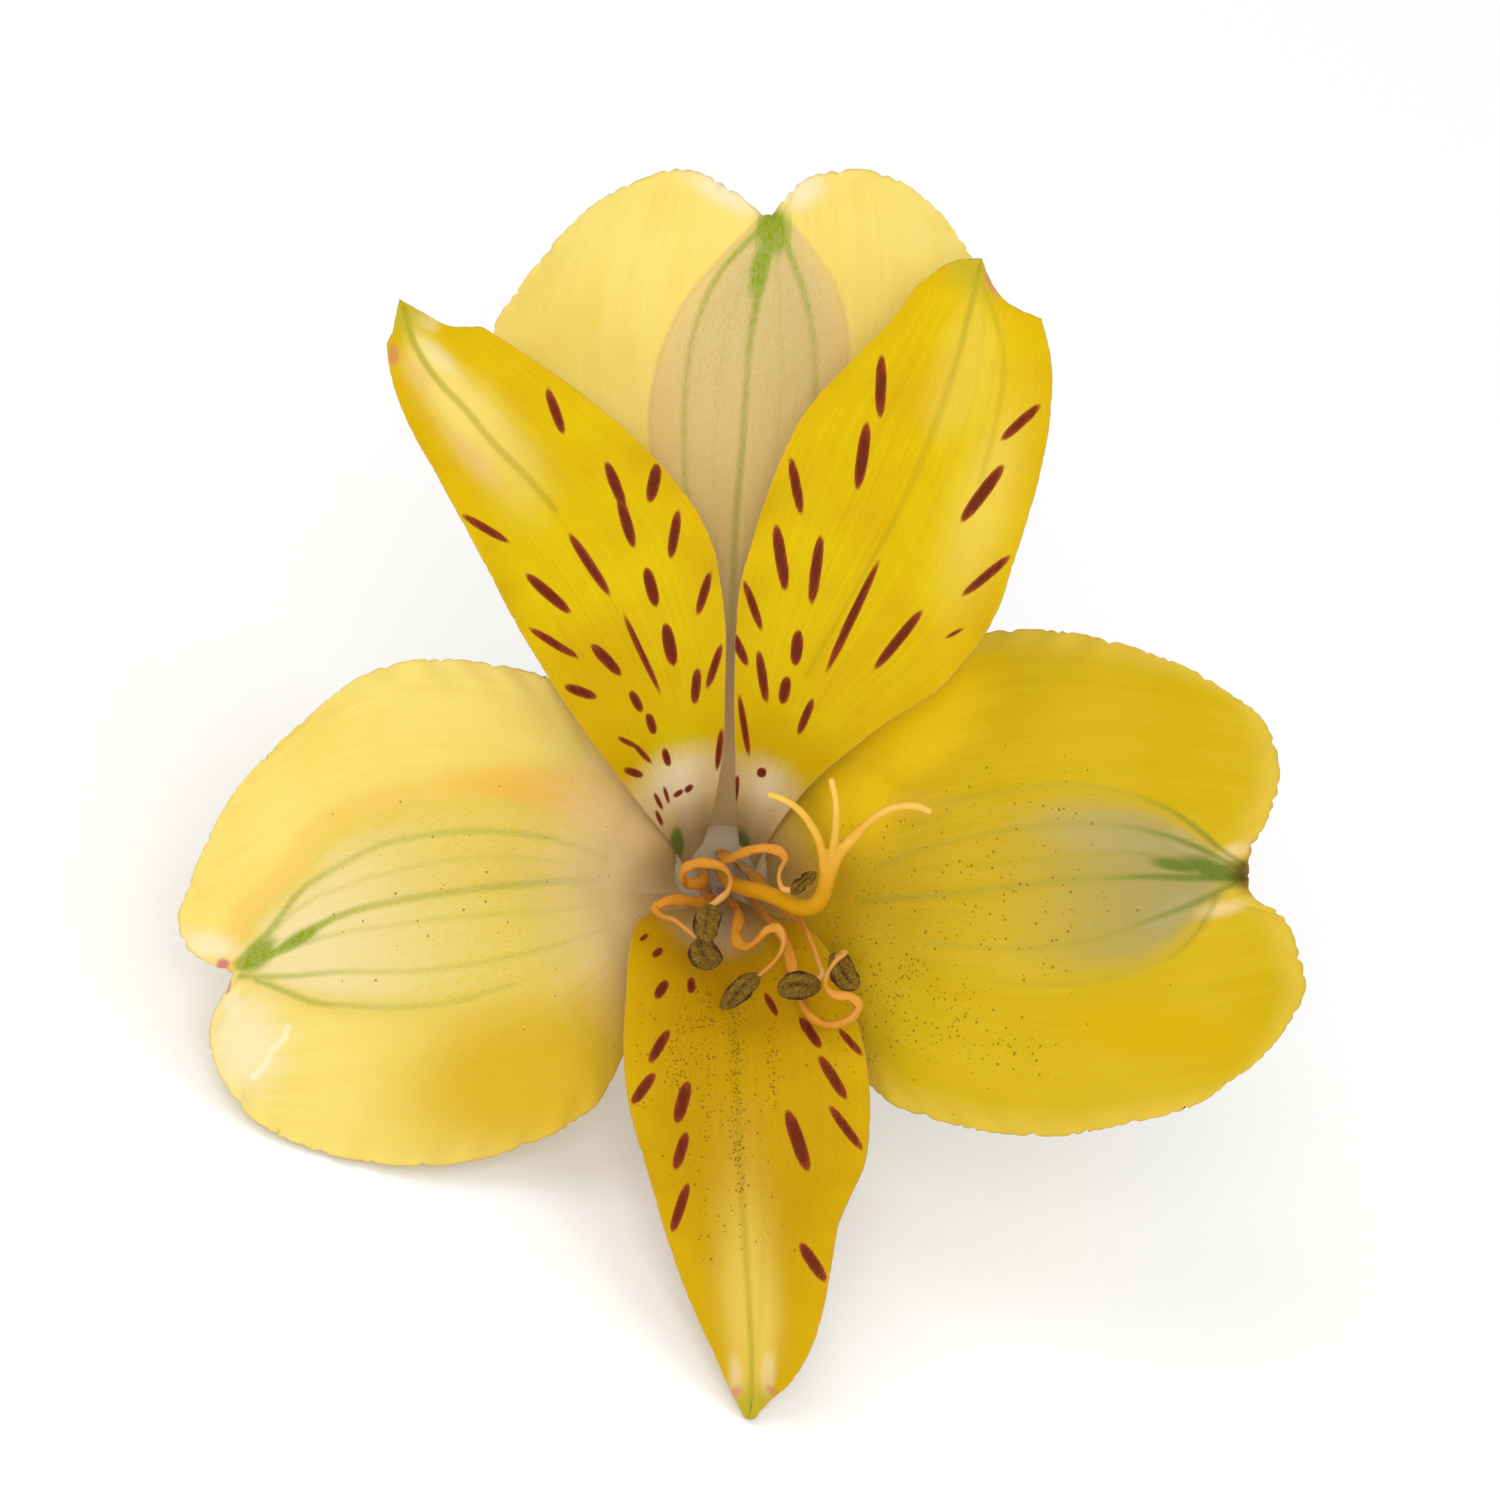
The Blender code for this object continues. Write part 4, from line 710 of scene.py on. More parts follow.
# Stamens: the angle of the filament's root, its route from there, and its anther's
# middle, long direction, furrowed side and size. Twist is in turns of the ribbon, and
# waist is how far an anther is drawn in at its middle.
STAMEN_RING = 1.2
STAMENS = (
    {"root": 90.0, "twist": 0.4,
     "path": ((0.1, 1.2, 8.0), (0.3, 0.95, 13.0), (0.6, 0.9, 16.0), (1.3, 1.25, 17.6),
              (2.2, 1.55, 18.6), (3.1, 1.6, 19.3), (3.8, 1.4, 19.8), (4.1, 0.9, 20.3),
              (3.8, 0.3, 20.7), (3.7, -0.3, 21.1), (3.95, -0.9, 21.5), (4.6, -1.0, 21.9)),
     "anther": (5.2, -0.5, 22.0), "along": (0.75, 0.65, 0.1), "front": (0.3, -0.3, 1.0),
     "size": (2.1, 0.95, 0.8), "waist": 0.45},
    {"root": 150.0, "twist": 0.6,
     "path": ((-1.2, -0.1, 8.0), (-1.0, -0.6, 12.0), (-1.6, -0.7, 14.3), (-2.35, -0.4, 16.0),
              (-2.3, 0.25, 17.0), (-1.5, 0.65, 18.0), (-0.5, 0.65, 19.0), (0.35, 0.3, 19.8),
              (0.65, -0.4, 20.5), (0.45, -1.1, 21.0), (-0.1, -1.6, 21.5), (-0.8, -2.1, 22.0)),
     "anther": (-0.85, -3.05, 22.3), "along": (0.1, -1.0, 0.2), "front": (0.1, 0.2, 1.0),
     "size": (2.4, 1.8, 1.3)},
    {"root": 210.0, "twist": 0.5,
     "path": ((-0.9, -1.4, 7.0), (-0.7, -2.0, 11.0), (-1.3, -1.9, 13.5), (-2.4, -1.7, 16.0),
              (-3.5, -1.8, 17.8), (-4.1, -2.2, 18.6), (-3.75, -2.65, 19.2),
              (-2.9, -2.9, 19.6), (-2.1, -3.5, 19.9), (-1.4, -4.1, 20.3)),
     "anther": (-0.9, -5.0, 20.6), "along": (0.4, -1.0, 0.1), "front": (0.0, 0.2, 1.0),
     "size": (2.2, 2.0, 1.3)},
    {"root": 270.0, "twist": 0.9,
     "path": ((0.5, -1.8, 7.0), (0.9, -2.2, 10.5), (1.2, -2.7, 13.5), (1.1, -3.4, 15.8),
              (1.0, -4.0, 17.3), (1.3, -4.55, 18.3), (1.8, -4.6, 18.9), (2.4, -4.1, 19.5),
              (3.0, -3.5, 20.0), (3.6, -3.4, 20.5), (4.0, -4.1, 21.0), (3.75, -5.0, 21.4),
              (3.2, -5.7, 21.6), (2.75, -6.1, 21.6), (2.2, -6.5, 21.6)),
     "anther": (1.25, -7.35, 21.6), "along": (0.76, 0.64, 0.0), "front": (0.0, 0.0, 1.0),
     "size": (3.2, 1.4, 1.3)},
    {"root": 30.0, "twist": 0.5,
     "path": ((1.7, 0.1, 7.0), (2.6, -0.8, 11.0), (3.4, -1.6, 14.0), (4.3, -2.4, 16.8),
              (5.0, -2.9, 18.5), (5.5, -3.8, 19.8), (5.9, -4.7, 20.8), (6.2, -5.6, 21.6),
              (6.4, -6.2, 22.0), (5.9, -6.8, 22.4)),
     "anther": (4.95, -7.0, 22.5), "along": (1.0, 0.15, 0.0), "front": (0.0, 0.0, 1.0),
     "size": (2.9, 1.7, 1.3)},
    {"root": 330.0, "twist": 1.2,
     "path": ((1.5, -1.2, 7.0), (2.1, -1.9, 10.5), (2.9, -2.8, 14.0), (3.7, -3.6, 17.0),
              (4.3, -4.9, 19.0), (4.7, -6.5, 20.2), (5.1, -7.9, 21.0), (5.9, -9.1, 22.0),
              (7.25, -9.4, 23.0), (8.4, -8.8, 23.7), (8.7, -8.1, 24.2), (8.1, -7.6, 24.6),
              (7.2, -7.5, 24.9), (6.65, -7.0, 25.3), (6.7, -6.2, 25.7), (7.2, -5.4, 25.9),
              (7.8, -4.9, 25.4), (7.7, -4.8, 24.8), (7.2, -5.2, 24.1)),
     "anther": (7.75, -6.1, 23.9), "along": (0.6, -0.75, 0.2), "front": (0.2, 0.2, 1.0),
     "size": (2.7, 1.8, 1.2)},
)

STYLE_PATH = ((0.0, 0.0, SEAT_GAP), (0.1, -0.1, 7.0), (0.4, -0.4, 11.0), (0.9, -0.75, 14.0),
              (1.6, -0.95, 16.0), (2.6, -1.15, 18.0), (4.1, -1.7, 20.0), (5.2, -2.1, 21.4),
              (6.0, -1.9, 22.6), (6.5, -1.1, 23.6), (6.75, -0.1, 24.5), (7.15, 0.9, 25.1),
              (7.8, 1.8, 25.6), (8.6, 2.65, 25.9), (9.5, 3.5, 26.1), (10.8, 4.2, 26.2),
              (12.2, 4.3, 26.1), (13.3, 3.9, 25.9))
STIGMA_PATHS = (
    ((6.55, -0.7, 24.0), (6.5, 0.7, 24.9), (6.25, 2.0, 25.6), (5.7, 3.1, 26.1),
     (4.9, 4.1, 26.5), (4.0, 4.7, 26.8), (2.9, 5.1, 26.9)),
    ((6.7, -0.5, 24.2), (6.95, 0.9, 25.2), (7.15, 2.2, 26.0), (7.25, 3.4, 26.5),
     (7.2, 4.8, 27.0), (6.9, 6.1, 27.2)),
)
# Radii at even steps along a filament, the style and a branch of the stigma, as shares of
# the widest, and how far a filament is flattened and has shrunk in drying.
FILAMENT_SHARES = (0.7, 0.85, 1.0, 1.0, 0.85, 0.5)
FILAMENT_FLAT = 0.5
FILAMENT_SHRINK = 0.09
STYLE_SHARES = (0.72, 0.76, 0.81, 0.86, 0.93, 1.0, 0.92, 0.56, 0.42)
STIGMA_SHARES = (0.62, 0.56, 0.44, 0.38)
# The size of the cells that the style's one skin is made from, the passes that soften the
# fork, and how far from a tip the paler colour reaches.
FORK_CELL = 0.07
FORK_PASSES = 6
PALE_REACH = 12.0

# The furrow between an anther's two sacs, its waist, its lumps and its dark rims, as shares
# of half its size.
FURROW_WANDER = 0.12
FURROW_WIDTH = 0.2
FURROW_PINCH = 0.2
FURROW_DEPTH = 0.3
WAIST_PLACE = 0.05
WAIST_WIDTH = 0.16
LUMP_DEPTH = 0.07
RIM_PLACE = 0.95
RIM_WIDTH = 0.2
SEAM_WIDTH = 0.12
SEAM_SHARE = 0.55
BACK_EDGE = (0.15, -0.4)
# The least that the boxy form is measured by, and the shares that blunt its ends.
BOXY_LEAST = 0.7
BLUNT_ENDS = (0.8, 1.0)
# How far the lumps of one anther are out of step with the next one's.
ANTHER_PHASE = 1.7

# The ovary's outline, as radius and height, rises at the top round the claws.
OVARY_LENGTH = 8.0
OVARY_TOP = 3.65
OVARY_OUTLINE = ((0.0, -OVARY_LENGTH), (1.0, -OVARY_LENGTH), (1.35, -7.85), (2.0, -7.2),
                 (2.9, -5.6), (3.35, -3.6), (3.45, -1.8), (OVARY_TOP - 0.02, -0.5),
                 (OVARY_TOP, -0.3), (3.6, 0.1), (3.4, 0.45), (2.2, 0.6), (0.0, 0.6))
OVARY_RIBS = 6
OVARY_RIB_DEPTH = 0.07
# A power below one makes both the ribs and the furrows between them broad. The tints are
# places on the skin's row of colours, for its sides, how far a rib is from that, and the
# level below the top, as a share of the length, at which the sides begin.
OVARY_RIB_POWER = 0.8
OVARY_SIDE_TINT = 0.35
OVARY_RIB_TINT = 0.3
OVARY_RIM_LEVEL = 0.004
# The pedicel runs up into the ovary, bends over its first part and ends in a cut.
PEDICEL_RADIUS = 1.15
PEDICEL_SHARES = (1.2, 1.0, 0.97, 0.95, 1.0)
PEDICEL_ROOT = 1.3
PEDICEL_LENGTH = 34.0
PEDICEL_BEND = 14.0
PEDICEL_STEPS = 12
PEDICEL_RIBS = 0.015

# How close points are merged, and the shortest edge kept, in millimetres, and the step
# along a blade, as a share of its length, by which its slope is felt.
MERGE_DISTANCE = 1e-4
LEAST_EDGE = 1e-5
PROBE_STEP = 0.01
# Any direction that no tube starts along.
SKEW_DIRECTION = (0.3, 0.5, 0.8)

# Rows of faces along a piece and faces round it.
FILAMENT_GRID = (220, 20)
STYLE_GRID = (240, 32)
STIGMA_GRID = (90, 32)
PEDICEL_GRID = (200, 48)
OVARY_GRID = (72, 144)
ANTHER_GRID = (72, 96)

# Patterns that follow a blade, by their count across half of it, some 14 mm, and along
# it, some 42 mm: streaks 0.4 by 15 mm, and cells of the net 0.15 by 0.5 mm.
STREAK_COUNT = (34.0, 2.8, 1.0)
NET_COUNT = (90.0, 80.0, 1.0)
# How strongly the net shows in the band.
OUTER_NET = 0.14
RIGHT_NET = 0.03
INNER_NET = 0.04
# Sizes of patterns on a body, in millimetres.
CLOUD_SIZE = 8.0
SPECK_SPACING = 0.2
DOME_SIZE = 0.125
PATCH_SIZE = 10 / 9
TISSUE_GRAIN = 1 / 3
POLLEN_GRAIN = 1 / 12
POLLEN_CLUMP = 5 / 13
PAPER_CLOUD = 10 / 9
# Depths of relief, and how deep light goes into tissue, in millimetres.
PETAL_RELIEF = 0.04
TISSUE_RELIEF = 0.03
POLLEN_RELIEF = 0.06
PAPER_RELIEF = 0.05
LIGHT_DEPTH = 0.2


def put(tree, kind, inputs=None, **settings):
    """Adds a node with its settings, and sets or links its inputs. A node that is given
    as an input stands for its first output."""
    node = tree.nodes.new(kind)
    for key, value in settings.items():
        setattr(node, key, value)
    for key, value in (inputs or {}).items():
        if isinstance(value, bpy.types.Node):
            value = value.outputs[0]
        if isinstance(value, bpy.types.NodeSocket):
            tree.links.new(value, node.inputs[key])
        else:
            node.inputs[key].default_value = value
    return node


def empty_material(name):
    material = bpy.data.materials.new(name)
    material.use_nodes = True
    material.node_tree.nodes.clear()
    return material, material.node_tree


def pattern_scale(size):
    """The scale of a pattern on a body, from its size in millimetres."""
    return 1 / (size * MM)


def petal_material(name, base, streaks, layers, netted, colours):
    """Fresh petal: a satin skin of domed cells over watery tissue.

    Fine pigment streaks fan out along the blade, a net of pale cells shows in the band, a
    soft glow of light comes through, and the cells give the eye a faint grain. Each layer
    is an attribute, the values between which its colour sets in, its colour, its strength
    and how ragged the streaks make its edge. Netted is the strength of the net.
    """
    material, tree = empty_material(name)
    blade = put(tree, "ShaderNodeUVMap", uv_map="blade")
    body = put(tree, "ShaderNodeTexCoord").outputs["Object"]

    # Pigment streaks, made uneven by clouds of colour.
    fan = put(tree, "ShaderNodeMapping", {"Vector": blade, "Scale": STREAK_COUNT})
    streak = put(tree, "ShaderNodeTexNoise",
                 {"Vector": fan, "Scale": 1.0, "Detail": 4.0, "Roughness": 0.6})
    cloud = put(tree, "ShaderNodeTexNoise",
                {"Vector": body, "Scale": pattern_scale(CLOUD_SIZE), "Detail": 3.0,
                 "Roughness": 0.5})
    grain = put(tree, "ShaderNodeMath", {0: streak, 1: 0.5}, operation="SUBTRACT")
    blend = put(tree, "ShaderNodeMath", {0: grain, 1: 0.6, 2: cloud},
                operation="MULTIPLY_ADD")
    pale = put(tree, "ShaderNodeMapRange",
               {"Value": blend, "From Min": 0.25, "From Max": 0.75},
               interpolation_type="SMOOTHSTEP")
    colour = put(tree, "ShaderNodeMix",
                 {SHARE: pale, FIRST: getattr(colours, base),
                  SECOND: getattr(colours, streaks)},
                 data_type="RGBA").outputs[MIXED]
    for attribute, low, high, tint, strength, ragged in layers:
        value = put(tree, "ShaderNodeAttribute", attribute_name=attribute)
        edge = put(tree, "ShaderNodeMath", {0: grain, 1: ragged, 2: value.outputs["Fac"]},
                   operation="MULTIPLY_ADD")
        mask = put(tree, "ShaderNodeMapRange",
                   {"Value": edge, "From Min": low, "From Max": high, "To Max": strength},
                   interpolation_type="SMOOTHSTEP")
        colour = put(tree, "ShaderNodeMix",
                     {SHARE: mask, FIRST: colour, SECOND: getattr(colours, tint)},
                     data_type="RGBA").outputs[MIXED]

    # A net of walls round long cells, paler than what they hold, faint outside the band.
    long_cells = put(tree, "ShaderNodeMapping", {"Vector": blade, "Scale": NET_COUNT})
    net = put(tree, "ShaderNodeTexVoronoi", {"Vector": long_cells, "Scale": 1.0},
              feature="DISTANCE_TO_EDGE")
    band = put(tree, "ShaderNodeAttribute", attribute_name="band")
    inside = put(tree, "ShaderNodeMapRange",
                 {"Value": band.outputs["Fac"], "From Min": -0.6, "From Max": 1.2,
                  "To Min": 0.2 * netted, "To Max": netted})
    wall = put(tree, "ShaderNodeMapRange",
               {"Value": net, "From Min": 0.3, "From Max": 0.0},
               interpolation_type="SMOOTHSTEP")
    shown = put(tree, "ShaderNodeMath", {0: wall, 1: inside}, operation="MULTIPLY")
    colour = put(tree, "ShaderNodeMix", {SHARE: shown, FIRST: colour, SECOND: colours.cream},
                 data_type="RGBA").outputs[MIXED]

    # Shed pollen: specks up to 0.15 mm wide, drawn coarser than the real grains so that
    # they show, and only in some cells of a lattice.
    cell = put(tree, "ShaderNodeTexVoronoi",
               {"Vector": body, "Scale": pattern_scale(SPECK_SPACING)})
    chance = put(tree, "ShaderNodeSeparateColor", {"Color": cell.outputs["Color"]})
    dust = put(tree, "ShaderNodeAttribute", attribute_name="dust")
    chosen = put(tree, "ShaderNodeMath", {0: chance, 1: dust.outputs["Fac"]},
                 operation="LESS_THAN")
    size = put(tree, "ShaderNodeMapRange",
               {"Value": chance.outputs[1], "To Min": 0.22, "To Max": 0.52})
    near = put(tree, "ShaderNodeMath", {0: cell, 1: size}, operation="LESS_THAN")
    speck = put(tree, "ShaderNodeMath", {0: chosen, 1: near}, operation="MULTIPLY")
    soft_speck = put(tree, "ShaderNodeMath", {0: speck, 1: 0.62}, operation="MULTIPLY")
    colour = put(tree, "ShaderNodeMix",
                 {SHARE: soft_speck, FIRST: colour, SECOND: colours.speck},
                 data_type="RGBA").outputs[MIXED]

    # Domed skin cells over the streaks' shallow furrows, with the specks on top.
    cells = put(tree, "ShaderNodeTexNoise",
                {"Vector": body, "Scale": pattern_scale(DOME_SIZE), "Detail": 2.0,
                 "Roughness": 0.6})
    height = put(tree, "ShaderNodeMath", {0: streak, 1: 1.2, 2: cells},
                 operation="MULTIPLY_ADD")
    relief = put(tree, "ShaderNodeMath", {0: speck, 1: 2.0, 2: height},
                 operation="MULTIPLY_ADD")
    bump = put(tree, "ShaderNodeBump",
               {"Height": relief, "Strength": 0.5, "Distance": PETAL_RELIEF * MM})
    shader = put(tree, "ShaderNodeBsdfPrincipled",
                 {"Base Color": colour, "Roughness": 0.44, "IOR": 1.38,
                  "Specular IOR Level": 0.28, "Specular Tint": colours.glow,
                  "Subsurface Weight": 0.1, "Subsurface Radius": (1.0, 0.7, 0.3),
                  "Subsurface Scale": LIGHT_DEPTH * MM, "Normal": bump})
    put(tree, "ShaderNodeOutputMaterial", {"Surface": shader})
    return material


def tissue_material(name, tints, colours, edge=None, roughness=0.42, glow=0.3, patch=0.12):
    """Soft plant tissue, smooth and moist, with a fine grain and light that comes through.

    Its colour changes along its share attribute through the tints, each with its place.
    Patches about a millimetre across make the colour uneven, as on anything grown, and a
    ribbon's thin edges may have a colour.
    """
    material, tree = empty_material(name)
    body = put(tree, "ShaderNodeTexCoord").outputs["Object"]
    value = put(tree, "ShaderNodeAttribute", attribute_name="share")
    uneven = put(tree, "ShaderNodeTexNoise",
                 {"Vector": body, "Scale": pattern_scale(PATCH_SIZE), "Detail": 4.0,
                  "Roughness": 0.6})
    moved = put(tree, "ShaderNodeMath", {0: uneven, 1: 0.5}, operation="SUBTRACT")
    place = put(tree, "ShaderNodeMath", {0: moved, 1: 4 * patch, 2: value.outputs["Fac"]},
                operation="MULTIPLY_ADD")
    colour = getattr(colours, tints[0][1])
    for (low, _), (high, tint) in zip(tints, tints[1:]):
        mask = put(tree, "ShaderNodeMapRange",
                   {"Value": place, "From Min": low, "From Max": high},
                   interpolation_type="SMOOTHSTEP")
        colour = put(tree, "ShaderNodeMix",
                     {SHARE: mask, FIRST: colour, SECOND: getattr(colours, tint)},
                     data_type="RGBA").outputs[MIXED]
    if edge:
        side = put(tree, "ShaderNodeAttribute", attribute_name="round")
        outer = put(tree, "ShaderNodeMath", {0: side.outputs["Fac"]}, operation="ABSOLUTE")
        ragged = put(tree, "ShaderNodeMath", {0: moved, 1: 0.9, 2: outer},
                     operation="MULTIPLY_ADD")
        mask = put(tree, "ShaderNodeMapRange",
                   {"Value": ragged, "From Min": 0.6, "From Max": 1.05, "To Max": 0.6},
                   interpolation_type="SMOOTHSTEP")
        colour = put(tree, "ShaderNodeMix",
                     {SHARE: mask, FIRST: colour, SECOND: getattr(colours, edge)},
                     data_type="RGBA").outputs[MIXED]
    grain = put(tree, "ShaderNodeTexNoise",
                {"Vector": body, "Scale": pattern_scale(TISSUE_GRAIN), "Detail": 4.0,
                 "Roughness": 0.65})
    bump = put(tree, "ShaderNodeBump",
               {"Height": grain, "Strength": 0.7, "Distance": TISSUE_RELIEF * MM})
    shader = put(tree, "ShaderNodeBsdfPrincipled",
                 {"Base Color": colour, "Roughness": roughness, "IOR": 1.4,
                  "Specular IOR Level": 0.35, "Subsurface Weight": glow,
                  "Subsurface Radius": (1.0, 0.6, 0.25),
                  "Subsurface Scale": LIGHT_DEPTH * MM, "Normal": bump})
    put(tree, "ShaderNodeOutputMaterial", {"Surface": shader})
    return material


def pollen_material(name, colours):
    """Anther walls under loose pollen: matt grains of mixed olive and straw colour, which
    thin out to the dark shrunken rims. The grains give a rough, powdery look."""
    material, tree = empty_material(name)
    body = put(tree, "ShaderNodeTexCoord").outputs["Object"]
    rim = put(tree, "ShaderNodeAttribute", attribute_name="share")
    grains = put(tree, "ShaderNodeTexVoronoi",
                 {"Vector": body, "Scale": pattern_scale(POLLEN_GRAIN)})
    each = put(tree, "ShaderNodeSeparateColor", {"Color": grains.outputs["Color"]})
    clumps = put(tree, "ShaderNodeTexNoise",
                 {"Vector": body, "Scale": pattern_scale(POLLEN_CLUMP), "Detail": 4.0,
                  "Roughness": 0.65})
    tone = put(tree, "ShaderNodeMath", {0: clumps, 1: 1.6, 2: each},
               operation="MULTIPLY_ADD")
    light = put(tree, "ShaderNodeMapRange",
                {"Value": tone, "From Min": 0.9, "From Max": 1.8},
                interpolation_type="SMOOTHSTEP")
    grain_colour = put(tree, "ShaderNodeMix",
                       {SHARE: light, FIRST: colours.pollen, SECOND: colours.straw},
                       data_type="RGBA").outputs[MIXED]
    bare = put(tree, "ShaderNodeMath", {0: tone, 1: -0.55, 2: rim.outputs["Fac"]},
               operation="MULTIPLY_ADD")
    dark = put(tree, "ShaderNodeMapRange",
               {"Value": bare, "From Min": -0.6, "From Max": 0.15},
               interpolation_type="SMOOTHSTEP")
    colour = put(tree, "ShaderNodeMix",
                 {SHARE: dark, FIRST: grain_colour, SECOND: colours.rim},
                 data_type="RGBA").outputs[MIXED]
    raised = put(tree, "ShaderNodeMath", {0: grains, 1: -1.0}, operation="MULTIPLY")
    bump = put(tree, "ShaderNodeBump",
               {"Height": raised, "Strength": 0.9, "Distance": POLLEN_RELIEF * MM})
    shader = put(tree, "ShaderNodeBsdfPrincipled",
                 {"Base Color": colour, "Roughness": 0.82, "Specular IOR Level": 0.25,
                  "Normal": bump})
    put(tree, "ShaderNodeOutputMaterial", {"Surface": shader})
    return material


def paper_material(name, settings):
    """Matt paper: clouds in the tone too faint to see one by one, and a slight tooth that
    keeps it from shining."""
    material, tree = empty_material(name)
    body = put(tree, "ShaderNodeTexCoord").outputs["Object"]
    clouds = put(tree, "ShaderNodeTexNoise",
                 {"Vector": body, "Scale": pattern_scale(PAPER_CLOUD), "Detail": 3.0,
                  "Roughness": 0.6})
    tone = put(tree, "ShaderNodeMix",
               {SHARE: clouds, FIRST: settings.floor, SECOND: settings.floor_shade},
               data_type="RGBA").outputs[MIXED]
    bump = put(tree, "ShaderNodeBump",
               {"Height": clouds, "Strength": 0.1, "Distance": PAPER_RELIEF * MM})
    shader = put(tree, "ShaderNodeBsdfPrincipled",
                 {"Base Color": tone, "Roughness": 0.9, "Specular IOR Level": 0.1,
                  "Normal": bump})
    put(tree, "ShaderNodeOutputMaterial", {"Surface": shader})
    return material


def lying_frame():
    turn = Matrix.Rotation(math.pi / 2 - LIE_RISE, 4, "X") @ Matrix.Rotation(LIE_ROLL, 4, "Z")
    return Matrix.Translation(Vector(LIE_PLACE) * MM) @ turn


def made_mesh(shape, name):
    """A mesh from a bmesh, which isn't needed after that."""
    mesh = bpy.data.meshes.new(name)
    shape.to_mesh(mesh)
    shape.free()
    return mesh


def read_points(mesh):
    flat = np.empty(len(mesh.vertices) * 3, np.float32)
    mesh.vertices.foreach_get("co", flat)
    return flat.reshape(-1, 3).astype(float)


def write_points(mesh, points):
    mesh.vertices.foreach_set("co", points.astype(np.float32).ravel())


def write_values(mesh, values):
    for name, value in values.items():
        layer = mesh.attributes.get(name) or mesh.attributes.new(name, "FLOAT", "POINT")
        layer.data.foreach_set("value", np.asarray(value, np.float32))


def closed(mesh):
    """Merges seams and poles, and turns the faces outwards."""
    shape = bmesh.new()
    shape.from_mesh(mesh)
    bmesh.ops.remove_doubles(shape, verts=shape.verts[:], dist=MERGE_DISTANCE)
    bmesh.ops.dissolve_degenerate(shape, edges=shape.edges[:], dist=LEAST_EDGE)
    bmesh.ops.recalc_face_normals(shape, faces=shape.faces[:])
    shape.to_mesh(mesh)
    shape.free()
    return mesh


def add_piece(name, mesh, material, node):
    """Puts a mesh, made in the flower's frame in millimetres, in the place of its node."""
    mesh.transform(lying_frame() @ Matrix.Diagonal((MM, MM, MM, 1.0)))
    mesh.materials.append(material)
    mesh.shade_smooth()
    piece = bpy.data.objects.new(name, mesh)
    bpy.context.scene.collection.objects.link(piece)
    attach(piece, BODY)
    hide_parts(node)


def blade_grid(rows, half_columns):
    """A flat grid and a copy behind it, joined by a rim. Rows run from the claw to the tip,
    and columns from the left margin to the right one."""
    shape = bmesh.new()
    bmesh.ops.create_grid(shape, x_segments=2 * half_columns, y_segments=rows, size=0.5)
    uv = shape.loops.layers.uv.new("blade")
    for face in shape.faces:
        for loop in face.loops:
            loop[uv].uv = (2 * loop.vert.co.x, loop.vert.co.y + 0.5)
    made = bmesh.ops.extrude_face_region(
        shape, geom=shape.faces[:] + shape.edges[:], use_keep_orig=True
    )
    for part in made["geom"]:
        if isinstance(part, bmesh.types.BMVert):
            part.co.z = -1.0
    bmesh.ops.recalc_face_normals(shape, faces=shape.faces[:])
    return made_mesh(shape, "blade")


def face_normal(midrib, rise, share):
    """The direction out of the face along the midrib."""
    ahead = np.clip(share + PROBE_STEP, 0.0, 1.0)
    behind = np.clip(share - PROBE_STEP, 0.0, 1.0)
    places = [along(midrib, at) for at in (ahead, behind)]
    heights = [profile(rise, np.linalg.norm(place, axis=1)) for place in places]
    tangent = unit(np.column_stack([places[0] - places[1], heights[0] - heights[1]]))
    return unit(np.array([0.0, 0.0, 1.0]) - tangent[:, 2:] * tangent)


def unit(vectors):
    return vectors / np.maximum(np.linalg.norm(vectors, axis=1), 1e-9)[:, None]


def scallop_cut(arc, phase, sizes, outer):
    """How far a margin is cut in along its arc, into round teeth with sharp notches that
    are uneven in length and depth."""
    drifting = arc + waves(arc, phase, TOOTH_DRIFT)
    teeth = np.abs(np.sin(math.pi * drifting / (sizes.scallop / MM)))
    uneven = TOOTH_MEAN + waves(arc, phase, TOOTH_UNEVEN)
    depth = sizes.scallop_depth / MM * (1.0 if outer else INNER_SCALLOP)
    wander = waves(arc, phase, MARGIN_WANDER)
    return depth * uneven * (1 - teeth) + 0.5 * depth * (1 + wander)


